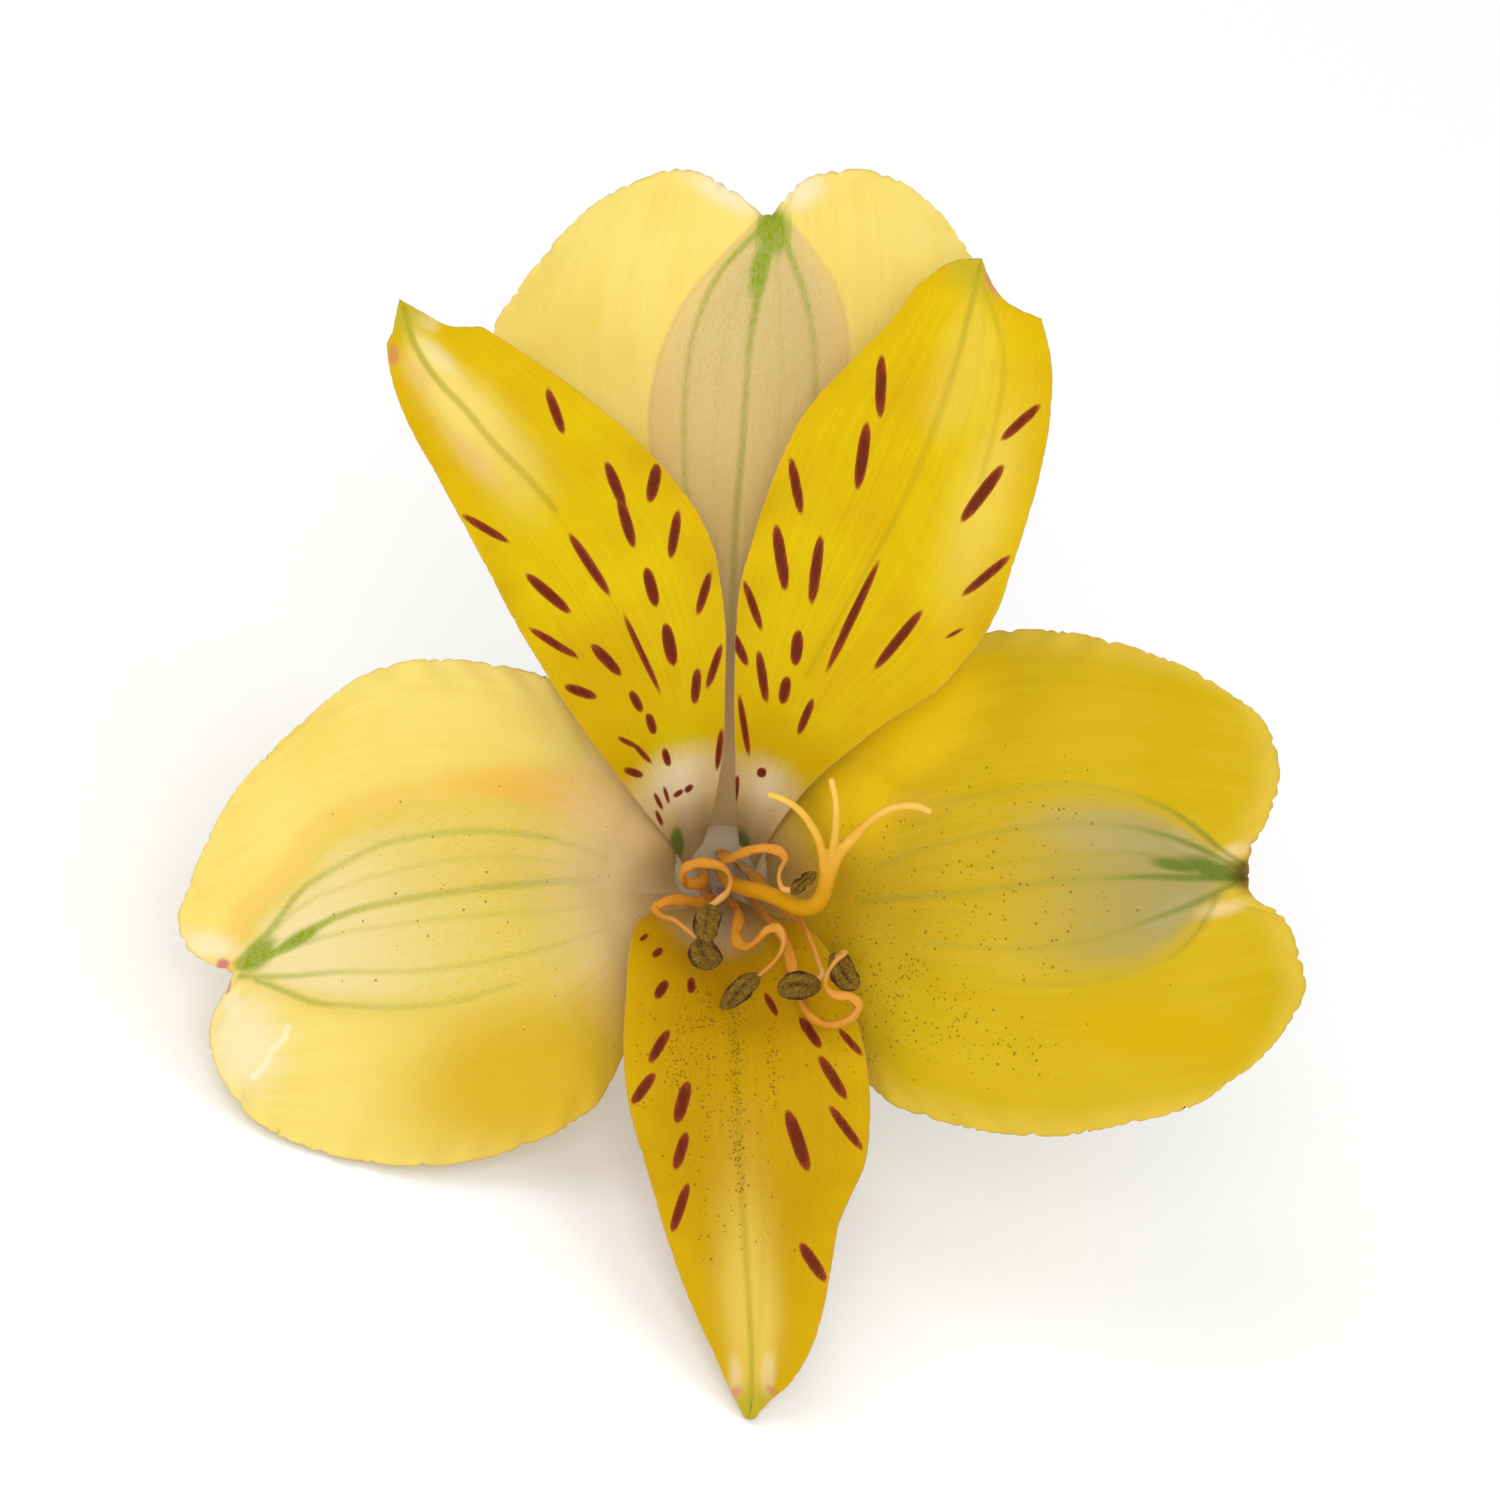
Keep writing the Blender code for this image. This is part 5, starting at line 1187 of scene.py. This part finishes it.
def face_marks(tepal, view, across, reach, gap):
    """What a blade's material reads at each point, by where it is seen from the front."""
    band = area_depth(view, tepal["band"])
    vein = np.zeros(len(view))
    for strength, line in tepal["veins"]:
        line = along(line, np.linspace(0.0, 1.0, 2 * len(line) + 1))
        near = soft(outline_distance(view, line), VEIN_WIDTH)
        vein = np.maximum(vein, strength * near)
    vein = vein * ramp(*VEIN_REACH, reach)
    tip = np.linalg.norm(view - seen(np.array([[*tepal["midrib"][-1], FACE_DEPTH]])), axis=1)
    near_tip = np.clip((MIST_START - tip) / (MIST_START - MIST_FULL), 0.0, 1.0)
    upper_half = across * tepal.get("upper", 0) > 0
    dust = np.zeros(len(view))
    for x0, y0, x1, y1, radius, held in DUST:
        near = soft(outline_distance(view, ((x0, y0), (x1, y1))), radius)
        dust = np.maximum(dust, held * near)
    marks = {
        "band": np.clip(band, -BAND_LIMIT, BAND_LIMIT),
        "vein": vein,
        "fleck": fleck_depth(view, tepal.get("flecks", ())),
        "tip": np.clip(tip, 0.0, TIP_LIMIT),
        "reach": reach,
        # Painted shade on the upper half, fading out from the band's edge.
        "fold": np.where(upper_half, soft(np.maximum(-band, 0.0), FOLD_WIDTH), 0.0),
        "gap": np.clip(gap, 0.0, GAP_LIMIT),
        "brim": soft(band, BRIM_WIDTH) * ramp(*BRIM_REACH, reach),
        # A painted highlight along a crease.
        "glint": soft(outline_distance(view, tepal.get("glint", NO_LINE)), GLINT_WIDTH),
        "sap": vein * ramp(*SAP_REACH, tip),
        "mist": ramp(*MIST_EDGE, band) * near_tip,
        "dust": dust,
    }
    # Deep patches and the side outer tepals' golden patches are painted shade, and the right
    # outer tepal's spot patches are painted light.
    for name in PATCHES:
        marks[name] = patches(view, tepal.get(name, ()))
    return marks


def blade_mesh(tepal, sizes, outer):
    """A tepal's blade with its veins, raised band, ruffled and scalloped margin, and the
    marks over its face that its material reads."""
    mesh = blade_grid(sizes.rows, sizes.columns if outer else 2 * sizes.columns // 3)
    flat = read_points(mesh)
    across = 2 * flat[:, 0]
    back = (flat[:, 2] < -0.5).astype(float)
    spread = np.abs(across)
    on_left = across < 0
    phase = tepal["phase"]
    left_root, middle_root, right_root = claw_line(*tepal["claw"])
    midrib = [middle_root, *tepal["midrib"]]
    left_side = [left_root, *tepal["left"]]
    right_side = [right_root, *tepal["right"]]
    share = even_shares(midrib, tepal["rise"], flat[:, 1] + 0.5)

    def face_at(share_at, spread_at):
        left, centre = half_face(share_at, spread_at, midrib, left_side, tepal["left_top"])
        right, _ = half_face(share_at, spread_at, midrib, right_side, tepal["right_top"])
        return np.where(on_left[:, None], left, right), centre

    # Where each point lies against the margin, and the way out of the blade there.
    face, middle = face_at(share, spread)
    ends = np.ones(len(flat))
    side_line = face_at(share, ends)[0]
    top_line = face_at(ends, spread)[0]
    side_gap = np.linalg.norm(side_line - face, axis=1)
    top_gap = np.linalg.norm(top_line - face, axis=1)
    gap = np.minimum(side_gap, top_gap)
    sideways = unit(side_line - middle)
    tipwards = unit(top_line - face_at(ends - 2 * PROBE_STEP, spread)[0])
    outwards = unit(np.exp(-side_gap / CORNER)[:, None] * sideways
                    + np.exp(-top_gap / CORNER)[:, None] * tipwards)
    side_length = np.where(on_left, line_length(left_side), line_length(right_side))
    top_length = np.where(on_left, line_length(tepal["left_top"]),
                          line_length(tepal["right_top"]))
    arc = side_length * share + top_length * (1 - spread) + HALF_SHIFT * np.sign(across)
    open_part = ramp(*OPEN_PART, share)
    cut = scallop_cut(arc, phase, sizes, outer) * open_part * soft(gap, SCALLOP_REACH)
    face = face - cut[:, None] * outwards

    # The cupped blade with its long waves.
    from_axis = np.linalg.norm(middle, axis=1)
    height = profile(tepal["rise"], from_axis)
    apart = np.linalg.norm(face - middle, axis=1)
    normal = face_normal(midrib, tepal["rise"], share)
    bend = 0.5 * profile(tepal["cup"], from_axis) * apart ** 2
    margin = np.clip((spread - WAVE_REACH) / (1 - WAVE_REACH), 0, 1)
    run = from_axis + apart + phase * np.sign(across)
    calm = np.clip((from_axis - WAVE_START) / WAVE_STRETCH, 0.0, 1.0)
    calm *= 1 - share ** tepal["calm"]
    bend = bend + WAVE_DEPTH * np.sin(2 * math.pi * run / WAVE_LENGTH) * margin ** 2 * calm
    points = np.column_stack([face, height]) + bend[:, None] * normal

    # Ruffles run along the margin, the band stands a little proud, and veins are sunk in.
    reach = np.linalg.norm(face, axis=1)
    marks = face_marks(tepal, seen(points), across, reach, gap)
    ruffle_depth = OUTER_RUFFLE if outer else INNER_RUFFLE
    fine = ruffle_depth * waves(arc, phase, RUFFLES) * soft(gap, RUFFLE_REACH) * open_part
    proud = ramp(*LIFT_EDGE, marks["band"]) * ramp(*LIFT_REACH, reach)
    fine += tepal.get("lift", 0.0) * proud
    fine -= sizes.vein_depth / MM * marks["vein"] * ramp(*VEIN_FADE, gap)
    thickness = (sizes.margin + (sizes.blade - sizes.margin) * ramp(*THIN_MARGIN, gap)) / MM
    write_points(mesh, points + (fine - back * thickness)[:, None] * normal)
    marks["dust"] = marks["dust"] * (1 - back)
    write_values(mesh, marks)
    return mesh


def carried_frames(line):
    """Two directions square to a line at each of its points, carried along untwisted."""
    tangents = unit(np.gradient(line, axis=0))
    side = np.cross(tangents[0], SKEW_DIRECTION)
    sides = []
    for tangent in tangents:
        side = side - (side @ tangent) * tangent
        side = side / np.linalg.norm(side)
        sides.append(side)
    sides = np.array(sides)
    return sides, np.cross(tangents, sides)


def tube_mesh(name, path, radius, shares, grid, flat=1.0, twist=0.0, ribs=0.0, shrink=0.0):
    """A closed tube or ribbon with round ends along a smooth line. Shares are those of its
    radius at even steps, and shrink makes its width uneven, as of tissue that dries."""
    rows, sides = grid
    shape = bmesh.new()
    bmesh.ops.create_grid(shape, x_segments=sides, y_segments=rows, size=0.5)
    mesh = made_mesh(shape, name)
    points = read_points(mesh)
    row = np.rint((points[:, 1] + 0.5) * rows).astype(int)
    angle = 2 * math.pi * (points[:, 0] + 0.5)

    run = np.linspace(0.0, 1.0, rows + 1)
    length = line_length(path)
    widths = radius * np.interp(run, np.linspace(0.0, 1.0, len(shares)), shares)
    widths = widths * (1 + shrink * waves(run * length, twist, SHRINKING))
    for end in (0, 1):
        away = np.abs(run - end) * length
        widths = widths * np.sqrt(1 - (1 - np.clip(away / widths, 0.0, 1.0)) ** 2)
    line = along(path, run)
    across, up = carried_frames(line)
    swell = widths[row] * (1 + ribs * np.cos(OVARY_RIBS * angle))
    breadth = (swell * np.cos(angle))[:, None]
    depth = (swell * flat * np.sin(angle))[:, None]
    turn = 2 * math.pi * twist * run[row]
    turned_across = np.cos(turn)[:, None] * across[row] + np.sin(turn)[:, None] * up[row]
    turned_up = np.cos(turn)[:, None] * up[row] - np.sin(turn)[:, None] * across[row]
    write_points(mesh, line[row] + breadth * turned_across + depth * turned_up)
    write_values(mesh, {"share": run[row], "round": np.cos(angle)})
    return closed(mesh)


def anther_mesh(name, stamen, seed):
    """An opened anther: two lumpy pollen sacs with a shallow furrow between them, curled
    rims and a coat of grains."""
    v_segments, u_segments = ANTHER_GRID
    shape = bmesh.new()
    bmesh.ops.create_uvsphere(shape, u_segments=u_segments, v_segments=v_segments, radius=0.5)
    mesh = made_mesh(shape, name)
    # z runs along the anther, x across it, and y out of its open front.
    x, y, z = read_points(mesh).T * 2
    front = np.clip(y, 0.0, 1.0)
    from_furrow = x - FURROW_WANDER * np.sin(2.3 * z + seed)
    furrow = soft(from_furrow, FURROW_WIDTH) * front
    waist = stamen.get("waist", 0.0) * soft(z - WAIST_PLACE, WAIST_WIDTH)
    # Lumps of three sizes, and slow bends that leave no two anthers alike.
    lumps = (np.sin(5 * x + seed) * np.sin(6 * z + 2 * seed) * np.sin(5 * y + 3 * seed)
             + 0.5 * np.sin(11 * z + 4 * x + seed) * np.sin(9 * x - 5 * y)
             + 0.3 * np.sin(27 * z + 3 * seed) * np.sin(25 * x + seed) * np.sin(23 * y))
    swell = (1 - FURROW_PINCH * furrow - waist + LUMP_DEPTH * lumps
             + 0.05 * np.sin(3.1 * z + seed) + 0.06 * np.sin(2.1 * x + 1.7 * z + 2 * seed))
    boxy = 1 / np.maximum((np.abs(z) ** 4 + (x ** 2 + y ** 2) ** 2) ** 0.25, BOXY_LEAST)
    length, width, depth = stamen["size"]
    points = np.column_stack([
        x * width / 2 * swell + 0.05 * width * np.sin(2.4 * z + seed),
        (y + 0.08 * np.sin(3 * z + seed) - FURROW_DEPTH * furrow) * depth / 2 * swell,
        z * length / 2 * np.clip(boxy, *BLUNT_ENDS) * (1 + 0.04 * np.sin(3 * x + 2 * seed)),
    ])
    curled = soft(np.abs(x) - RIM_PLACE, RIM_WIDTH) * (1 - 0.4 * front)
    seam = SEAM_SHARE * soft(from_furrow, SEAM_WIDTH) * front
    rim = np.maximum(np.maximum(curled, seam), ramp(*BACK_EDGE, y))
    long_way = unit(np.array([stamen["along"]], float))[0]
    out = np.array(stamen["front"], float)
    out = unit((out - (out @ long_way) * long_way)[None])[0]
    across = np.cross(out, long_way)
    write_points(mesh, points @ np.array([across, out, long_way]) + stamen["anther"])
    write_values(mesh, {"share": rim})
    return closed(mesh)


def forked_mesh(name, radius):
    """The style and its stigma's branches in one skin, soft where they part."""
    shape = bmesh.new()
    lines = [(STYLE_PATH, STYLE_SHARES, STYLE_GRID)]
    lines += [(path, STIGMA_SHARES, STIGMA_GRID) for path in STIGMA_PATHS]
    for path, shares, grid in lines:
        part = tube_mesh("style_part", path, radius, shares, grid)
        shape.from_mesh(part)
        bpy.data.meshes.remove(part)
    parts = made_mesh(shape, "style_parts")
    body = bpy.data.objects.new(name, parts)
    bpy.context.scene.collection.objects.link(body)
    skin = body.modifiers.new("one_skin", "REMESH")
    skin.mode = "VOXEL"
    skin.voxel_size = FORK_CELL
    fork = body.modifiers.new("soft_fork", "SMOOTH")
    fork.factor = 0.5
    fork.iterations = FORK_PASSES
    bpy.context.view_layer.update()
    graph = bpy.context.evaluated_depsgraph_get()
    joined = bpy.data.meshes.new_from_object(body.evaluated_get(graph))
    bpy.data.objects.remove(body)
    bpy.data.meshes.remove(parts)
    joined.name = name
    tips = [np.array(path[-1]) for path in (STYLE_PATH, *STIGMA_PATHS)]
    points = read_points(joined)
    gap = np.min([np.linalg.norm(points - tip, axis=1) for tip in tips], axis=0)
    write_values(joined, {"share": 1 - np.clip(gap / PALE_REACH, 0.0, 1.0)})
    return joined


def ovary_mesh(name):
    """A turned body with ribs down its sides and a paler flat top."""
    rows, steps = OVARY_GRID
    line = along(OVARY_OUTLINE, np.linspace(0.0, 1.0, rows))
    line[:, 0] = np.clip(line[:, 0], 0.0, OVARY_TOP)
    shape = bmesh.new()
    verts = [shape.verts.new((radius, 0.0, height)) for radius, height in line]
    edges = [shape.edges.new(pair) for pair in zip(verts, verts[1:])]
    bmesh.ops.spin(shape, geom=verts + edges, cent=(0, 0, 0), axis=(0, 0, 1),
                   angle=2 * math.pi, steps=steps, use_merge=True)
    mesh = closed(made_mesh(shape, name))
    points = read_points(mesh)
    angle = np.arctan2(points[:, 1], points[:, 0])
    level = np.clip(-points[:, 2] / OVARY_LENGTH, 0.0, 1.0)
    rib = np.cos(OVARY_RIBS * angle) * np.sin(math.pi * level)
    rib = np.sign(rib) * np.abs(rib) ** OVARY_RIB_POWER
    points[:, :2] *= (1 + OVARY_RIB_DEPTH * rib)[:, None]
    write_points(mesh, points)
    sides = OVARY_SIDE_TINT + OVARY_RIB_TINT * rib
    write_values(mesh, {"share": np.where(level > OVARY_RIM_LEVEL, sides, 1.0)})
    return mesh


def pedicel_path():
    """From inside the ovary down towards the surface, then along it."""
    upwards = np.array([math.sin(LIE_ROLL), math.cos(LIE_ROLL)])
    place = np.array([0.0, 0.0, -OVARY_LENGTH - SEAT_GAP])
    path = [np.array([0.0, 0.0, -OVARY_LENGTH + PEDICEL_ROOT]), place]
    for step in range(PEDICEL_STEPS):
        run = (step + 0.5) / PEDICEL_STEPS * PEDICEL_LENGTH
        lean = LIE_RISE * min(1.0, run / PEDICEL_BEND)
        heading = np.array([*(math.sin(lean) * upwards), -math.cos(lean)])
        place = place + heading * PEDICEL_LENGTH / PEDICEL_STEPS
        path.append(place)
    return path


class BLOOM_OT_outer_tepals(Operator):
    """Builds the three outer tepals, with their beige bands and scalloped lobes"""

    bl_idname = "bloom.outer_tepals"
    bl_label = "Outer tepals"

    def execute(self, context):
        sizes = context.scene.bloom_sizes
        colours = context.scene.bloom_colours
        finishes = {
            "outer_tepal_top": ("lobe", "lobe_pale", (
                ("gap", 2.2, 0.0, "lobe_pale", 0.5, 0.6),
                ("band", -0.3, 0.4, "blush", 0.92, 0.2),
                ("mist", 0.1, 1.0, "mist", 0.35, 0.3),
                ("brim", 0.2, 1.0, "edge", 0.4, 0.1),
                ("white", 0.0, 1.0, "cream", 0.75, 0.4),
                ("vein", 0.05, 0.95, "vein", 0.6, 0.1),
                ("green", 0.1, 0.75, "leaf", 1.0, 0.5),
                ("sap", 0.1, 0.8, "leaf", 0.55, 0.1),
                ("reach", 22.0, 10.0, "shell", 0.95, 3.0),
                # A thin darker line of painted edge shade along the margin.
                ("gap", 0.14, 0.02, "edge", 0.25, 0.0),
            ), OUTER_NET),
            "outer_tepal_left": ("lobe", "lobe_pale", (
                ("gap", 2.2, 0.0, "lobe_pale", 0.5, 0.6),
                # Fold and golden paint shade in amber above the band.
                ("fold", 0.05, 0.9, "amber_fold_shade", 0.5, 0.4),
                ("golden", 0.15, 0.9, "amber_fold_shade", 0.75, 0.3),
                # Painted shade in the deep patches.
                ("deep", 0.05, 0.9, "gold_deep", 0.9, 0.15),
                ("band", -0.6, 0.7, "sage", 0.85, 0.5),
                ("mist", 0.1, 1.0, "cream", 0.5, 0.3),
                ("vein", 0.05, 0.95, "lime", 0.7, 0.1),
                ("reach", 14.0, 6.0, "shell", 0.8, 3.0),
                ("white", 0.0, 1.0, "cream", 0.7, 0.3),
                # Painted highlight along a crease.
                ("glint", 0.1, 1.0, "milk", 0.45, 0.0),
                ("green", 0.15, 0.8, "leaf", 1.0, 0.4),
                ("sap", 0.1, 0.8, "leaf", 0.6, 0.1),
                ("red", 0.3, 0.8, "rosy", 0.8, 0.2),
                # A thin darker line of painted edge shade along the margin.
                ("gap", 0.14, 0.02, "edge", 0.25, 0.0),
            ), OUTER_NET),
            # The right outer tepal takes the lobe colours darkened as painted shade.
            "outer_tepal_right": ("lobe_in_shade", "lobe_in_shade_pale", (
                ("gap", 2.6, 0.0, "lobe", 0.35, 0.8),
                # Painted shade in the deep patches.
                ("deep", 0.2, 0.9, "gold_deep", 0.8, 0.3),
                # Golden paints faint shade in amber above the band.
                ("golden", 0.15, 0.9, "amber_fold_shade", 0.3, 0.3),
                # Painted light in the spot patches.
                ("spot", 0.05, 0.9, "bright", 0.9, 0.2),
                ("mist", 0.05, 1.0, "mist", 0.8, 0.3),
                ("reach", 7.0, 3.5, "shell", 0.5, 2.0),
                ("lilac", 0.05, 1.0, "lilac", 0.4, 0.3),
                ("white", 0.2, 1.0, "shell", 0.6, 0.3),
                ("vein", 0.05, 0.95, "vein", 0.4, 0.1),
                ("sap", 0.1, 0.8, "moss", 0.7, 0.1),
                ("green", 0.15, 0.8, "moss", 0.9, 0.5),
                ("tip", 1.6, 0.5, "rim", 0.8, 0.4),
                ("red", 0.3, 0.8, "rosy", 0.6, 0.2),
                # A thin darker line of painted edge shade along the margin.
                ("gap", 0.14, 0.02, "edge", 0.25, 0.0),
            ), RIGHT_NET),
        }
        for tepal in OUTER_TEPALS:
            name = tepal["name"]
            finish = petal_material(f"{name}_fresh_petal", *finishes[name], colours)
            add_piece(f"{name}_blade", blade_mesh(tepal, sizes, True), finish, name)
        return {"FINISHED"}


class BLOOM_OT_inner_tepals(Operator):
    """Builds the three narrower inner tepals, with their dark flecks"""

    bl_idname = "bloom.inner_tepals"
    bl_label = "Inner tepals"

    def execute(self, context):
        sizes = context.scene.bloom_sizes
        colours = context.scene.bloom_colours
        tinted = {
            "inner_tepal_upper_left": ("gold", "gold_deep"),
            "inner_tepal_upper_right": ("gold", "gold_deep"),
            "inner_tepal_lower": ("ochre", "ochre_deep"),
        }
        layers = (
            ("gap", 3.0, 0.0, "gold_deep", 0.55, 0.8),
            ("white", 0.1, 0.9, "cream", 0.35, 0.3),
            ("vein", 0.05, 0.95, "seam", 0.5, 0.1),
            ("sap", 0.3, 1.0, "leaf", 0.3, 0.1),
            ("spot", 0.25, 0.7, "spot", 0.9, 0.1),
            ("tip", 3.0, 0.6, "lime", 0.6, 1.0),
            ("red", 0.3, 0.9, "rosy", 0.5, 0.3),
            # A thin darker line of painted edge shade along the margin.
            ("gap", 0.14, 0.02, "edge", 0.25, 0.0),
            ("fleck", -0.05, 0.04, "brick", 0.96, 0.05),
            ("fleck", 0.0, 0.2, "fleck", 0.85, 0.5),
        )
        throats = {
            "inner_tepal_upper_left": (
                ("reach", 9.2, 6.4, "milk", 0.9, 2.0),
                ("mist", 0.0, 0.85, "lobe_pale", 0.8, 0.3),
                ("golden", 0.1, 0.9, "peach", 0.5, 0.2),
            ),
            "inner_tepal_upper_right": (
                ("reach", 8.6, 6.0, "milk", 0.9, 2.0),
                ("band", -1.2, 1.6, "lobe", 0.25, 0.9),
                ("golden", 0.0, 1.0, "lobe", 0.5, 0.3),
            ),
            "inner_tepal_lower": (
                ("reach", 6.0, 3.0, "milk", 0.7, 1.0),
                ("mist", 0.0, 0.8, "lobe", 0.6, 0.3),
            ),
        }
        for tepal in INNER_TEPALS:
            name = tepal["name"]
            finish = petal_material(f"{name}_fresh_petal", *tinted[name],
                                    (*throats[name], *layers), INNER_NET, colours)
            add_piece(f"{name}_blade", blade_mesh(tepal, sizes, False), finish, name)
        return {"FINISHED"}


class BLOOM_OT_stamens(Operator):
    """Builds the curled filaments and their opened anthers"""

    bl_idname = "bloom.stamens"
    bl_label = "Stamens"

    def execute(self, context):
        sizes = context.scene.bloom_sizes
        colours = context.scene.bloom_colours
        filament_finish = tissue_material(
            "filament_translucent_tissue",
            ((0.0, "cream"), (0.4, "salmon"), (0.8, "salmon"), (1.1, "peach")), colours,
            edge="russet", glow=0.3,
        )
        anther_finish = pollen_material("anther_dusted_with_pollen", colours)
        for index, stamen in enumerate(STAMENS, start=1):
            root = (*ring_point(STAMEN_RING, stamen["root"]), SEAT_GAP)
            ribbon = tube_mesh(f"filament_{index}_ribbon", [root, *stamen["path"]],
                               sizes.ribbon / MM, FILAMENT_SHARES, FILAMENT_GRID,
                               flat=FILAMENT_FLAT, twist=stamen["twist"],
                               shrink=FILAMENT_SHRINK)
            add_piece(ribbon.name, ribbon, filament_finish, f"filament_{index}")
            sacs = anther_mesh(f"anther_{index}_sacs", stamen, ANTHER_PHASE * index)
            add_piece(sacs.name, sacs, anther_finish, f"anther_{index}")
        return {"FINISHED"}


class BLOOM_OT_style(Operator):
    """Builds the style and its three stigma branches as one smooth body"""

    bl_idname = "bloom.style"
    bl_label = "Style"

    def execute(self, context):
        mesh = forked_mesh("style_forked", context.scene.bloom_sizes.style / MM)
        finish = tissue_material("style_smooth_tissue",
                                 ((0.3, "honey"), (1.0, "honey_pale")),
                                 context.scene.bloom_colours, roughness=0.36, glow=0.35)
        add_piece("style_forked", mesh, finish, "style")
        return {"FINISHED"}


class BLOOM_OT_ovary(Operator):
    """Builds the ribbed ovary and the cut pedicel under it"""

    bl_idname = "bloom.ovary"
    bl_label = "Ovary and pedicel"

    def execute(self, context):
        colours = context.scene.bloom_colours
        finish = tissue_material("ovary_waxy_skin",
                                 ((0.1, "ovary"), (0.6, "stem"), (0.8, "haze")), colours,
                                 roughness=0.4, glow=0.15, patch=0.05)
        add_piece("ovary_ribbed", ovary_mesh("ovary_ribbed"), finish, "ovary")
        stalk = tube_mesh("pedicel_cut", pedicel_path(), PEDICEL_RADIUS, PEDICEL_SHARES,
                          PEDICEL_GRID, ribs=PEDICEL_RIBS)
        finish = tissue_material("pedicel_waxy_skin",
                                 ((0.0, "ovary"), (0.5, "stem"), (1.2, "stem")), colours,
                                 roughness=0.42, glow=0.15)
        add_piece("pedicel_cut", stalk, finish, "pedicel")
        return {"FINISHED"}


class BLOOM_OT_stage(Operator):
    """Lays the floor, sets the soft light and aims the camera"""

    bl_idname = "bloom.stage"
    bl_label = "Stage"

    def execute(self, context):
        scene = context.scene
        settings = scene.bloom_stage
        shape = bmesh.new()
        bmesh.ops.create_grid(shape, x_segments=4, y_segments=4, size=FLOOR_HALF)
        floor = bpy.data.objects.new("floor", made_mesh(shape, "floor"))
        floor.data.materials.append(paper_material("floor_matt_paper", settings))
        scene.collection.objects.link(floor)

        world = bpy.data.worlds.new("even_sky")
        world.use_nodes = True
        background = world.node_tree.nodes["Background"]
        background.inputs["Color"].default_value = (1.0, 1.0, 1.0, 1.0)
        background.inputs["Strength"].default_value = settings.sky
        scene.world = world

        lying = lying_frame()
        target = lying @ (Vector(LIT_PLACE) * MM)
        for name, place, size, power in LAMPS:
            lamp = bpy.data.lights.new(name, "AREA")
            lamp.shape = "DISK"
            lamp.size = size
            lamp.energy = power * settings.lamps
            light = bpy.data.objects.new(name, lamp)
            spot = lying @ (Vector(place) * MM)
            aim = (target - spot).to_track_quat("-Z", "Y").to_matrix().to_4x4()
            light.matrix_world = Matrix.Translation(spot) @ aim
            scene.collection.objects.link(light)

        camera = bpy.data.cameras.new("camera")
        camera.sensor_width = SENSOR
        camera.lens = SENSOR * (VIEW_PLACE[2] - FACE_DEPTH) / VIEW_WIDTH
        camera.clip_start = NEAREST_SEEN
        view = bpy.data.objects.new("camera", camera)
        view.matrix_world = lying @ Matrix.Translation(Vector(VIEW_PLACE) * MM)
        scene.collection.objects.link(view)
        scene.camera = view
        scene.view_settings.view_transform = "Standard"
        return {"FINISHED"}


class BLOOM_PT_panel(Panel):
    """The bloom's sizes, colours and build steps"""

    bl_idname = "BLOOM_PT_panel"
    bl_label = "Alstroemeria bloom"
    bl_space_type = "VIEW_3D"
    bl_region_type = "UI"
    bl_category = "Bloom"

    def draw(self, context):
        layout = self.layout
        for settings in (context.scene.bloom_sizes, context.scene.bloom_colours,
                         context.scene.bloom_stage):
            box = layout.box()
            for name in settings.bl_rna.properties.keys():
                if name not in ("name", "rna_type"):
                    box.prop(settings, name)
        for step in STEPS:
            layout.operator(f"bloom.{step}")


STEPS = ("outer_tepals", "inner_tepals", "stamens", "style", "ovary", "stage")
CLASSES = (
    BloomSizes, BloomColours, StageSettings, BLOOM_OT_outer_tepals, BLOOM_OT_inner_tepals,
    BLOOM_OT_stamens, BLOOM_OT_style, BLOOM_OT_ovary, BLOOM_OT_stage, BLOOM_PT_panel,
)


def register():
    for made in CLASSES:
        bpy.utils.register_class(made)
    bpy.types.Scene.bloom_sizes = PointerProperty(type=BloomSizes)
    bpy.types.Scene.bloom_colours = PointerProperty(type=BloomColours)
    bpy.types.Scene.bloom_stage = PointerProperty(type=StageSettings)


def unregister():
    for name in ("bloom_sizes", "bloom_colours", "bloom_stage"):
        delattr(bpy.types.Scene, name)
    for made in reversed(CLASSES):
        bpy.utils.unregister_class(made)


def main():
    register()
    for step in STEPS:
        getattr(bpy.ops.bloom, step)()


if __name__ == "__main__":
    main()
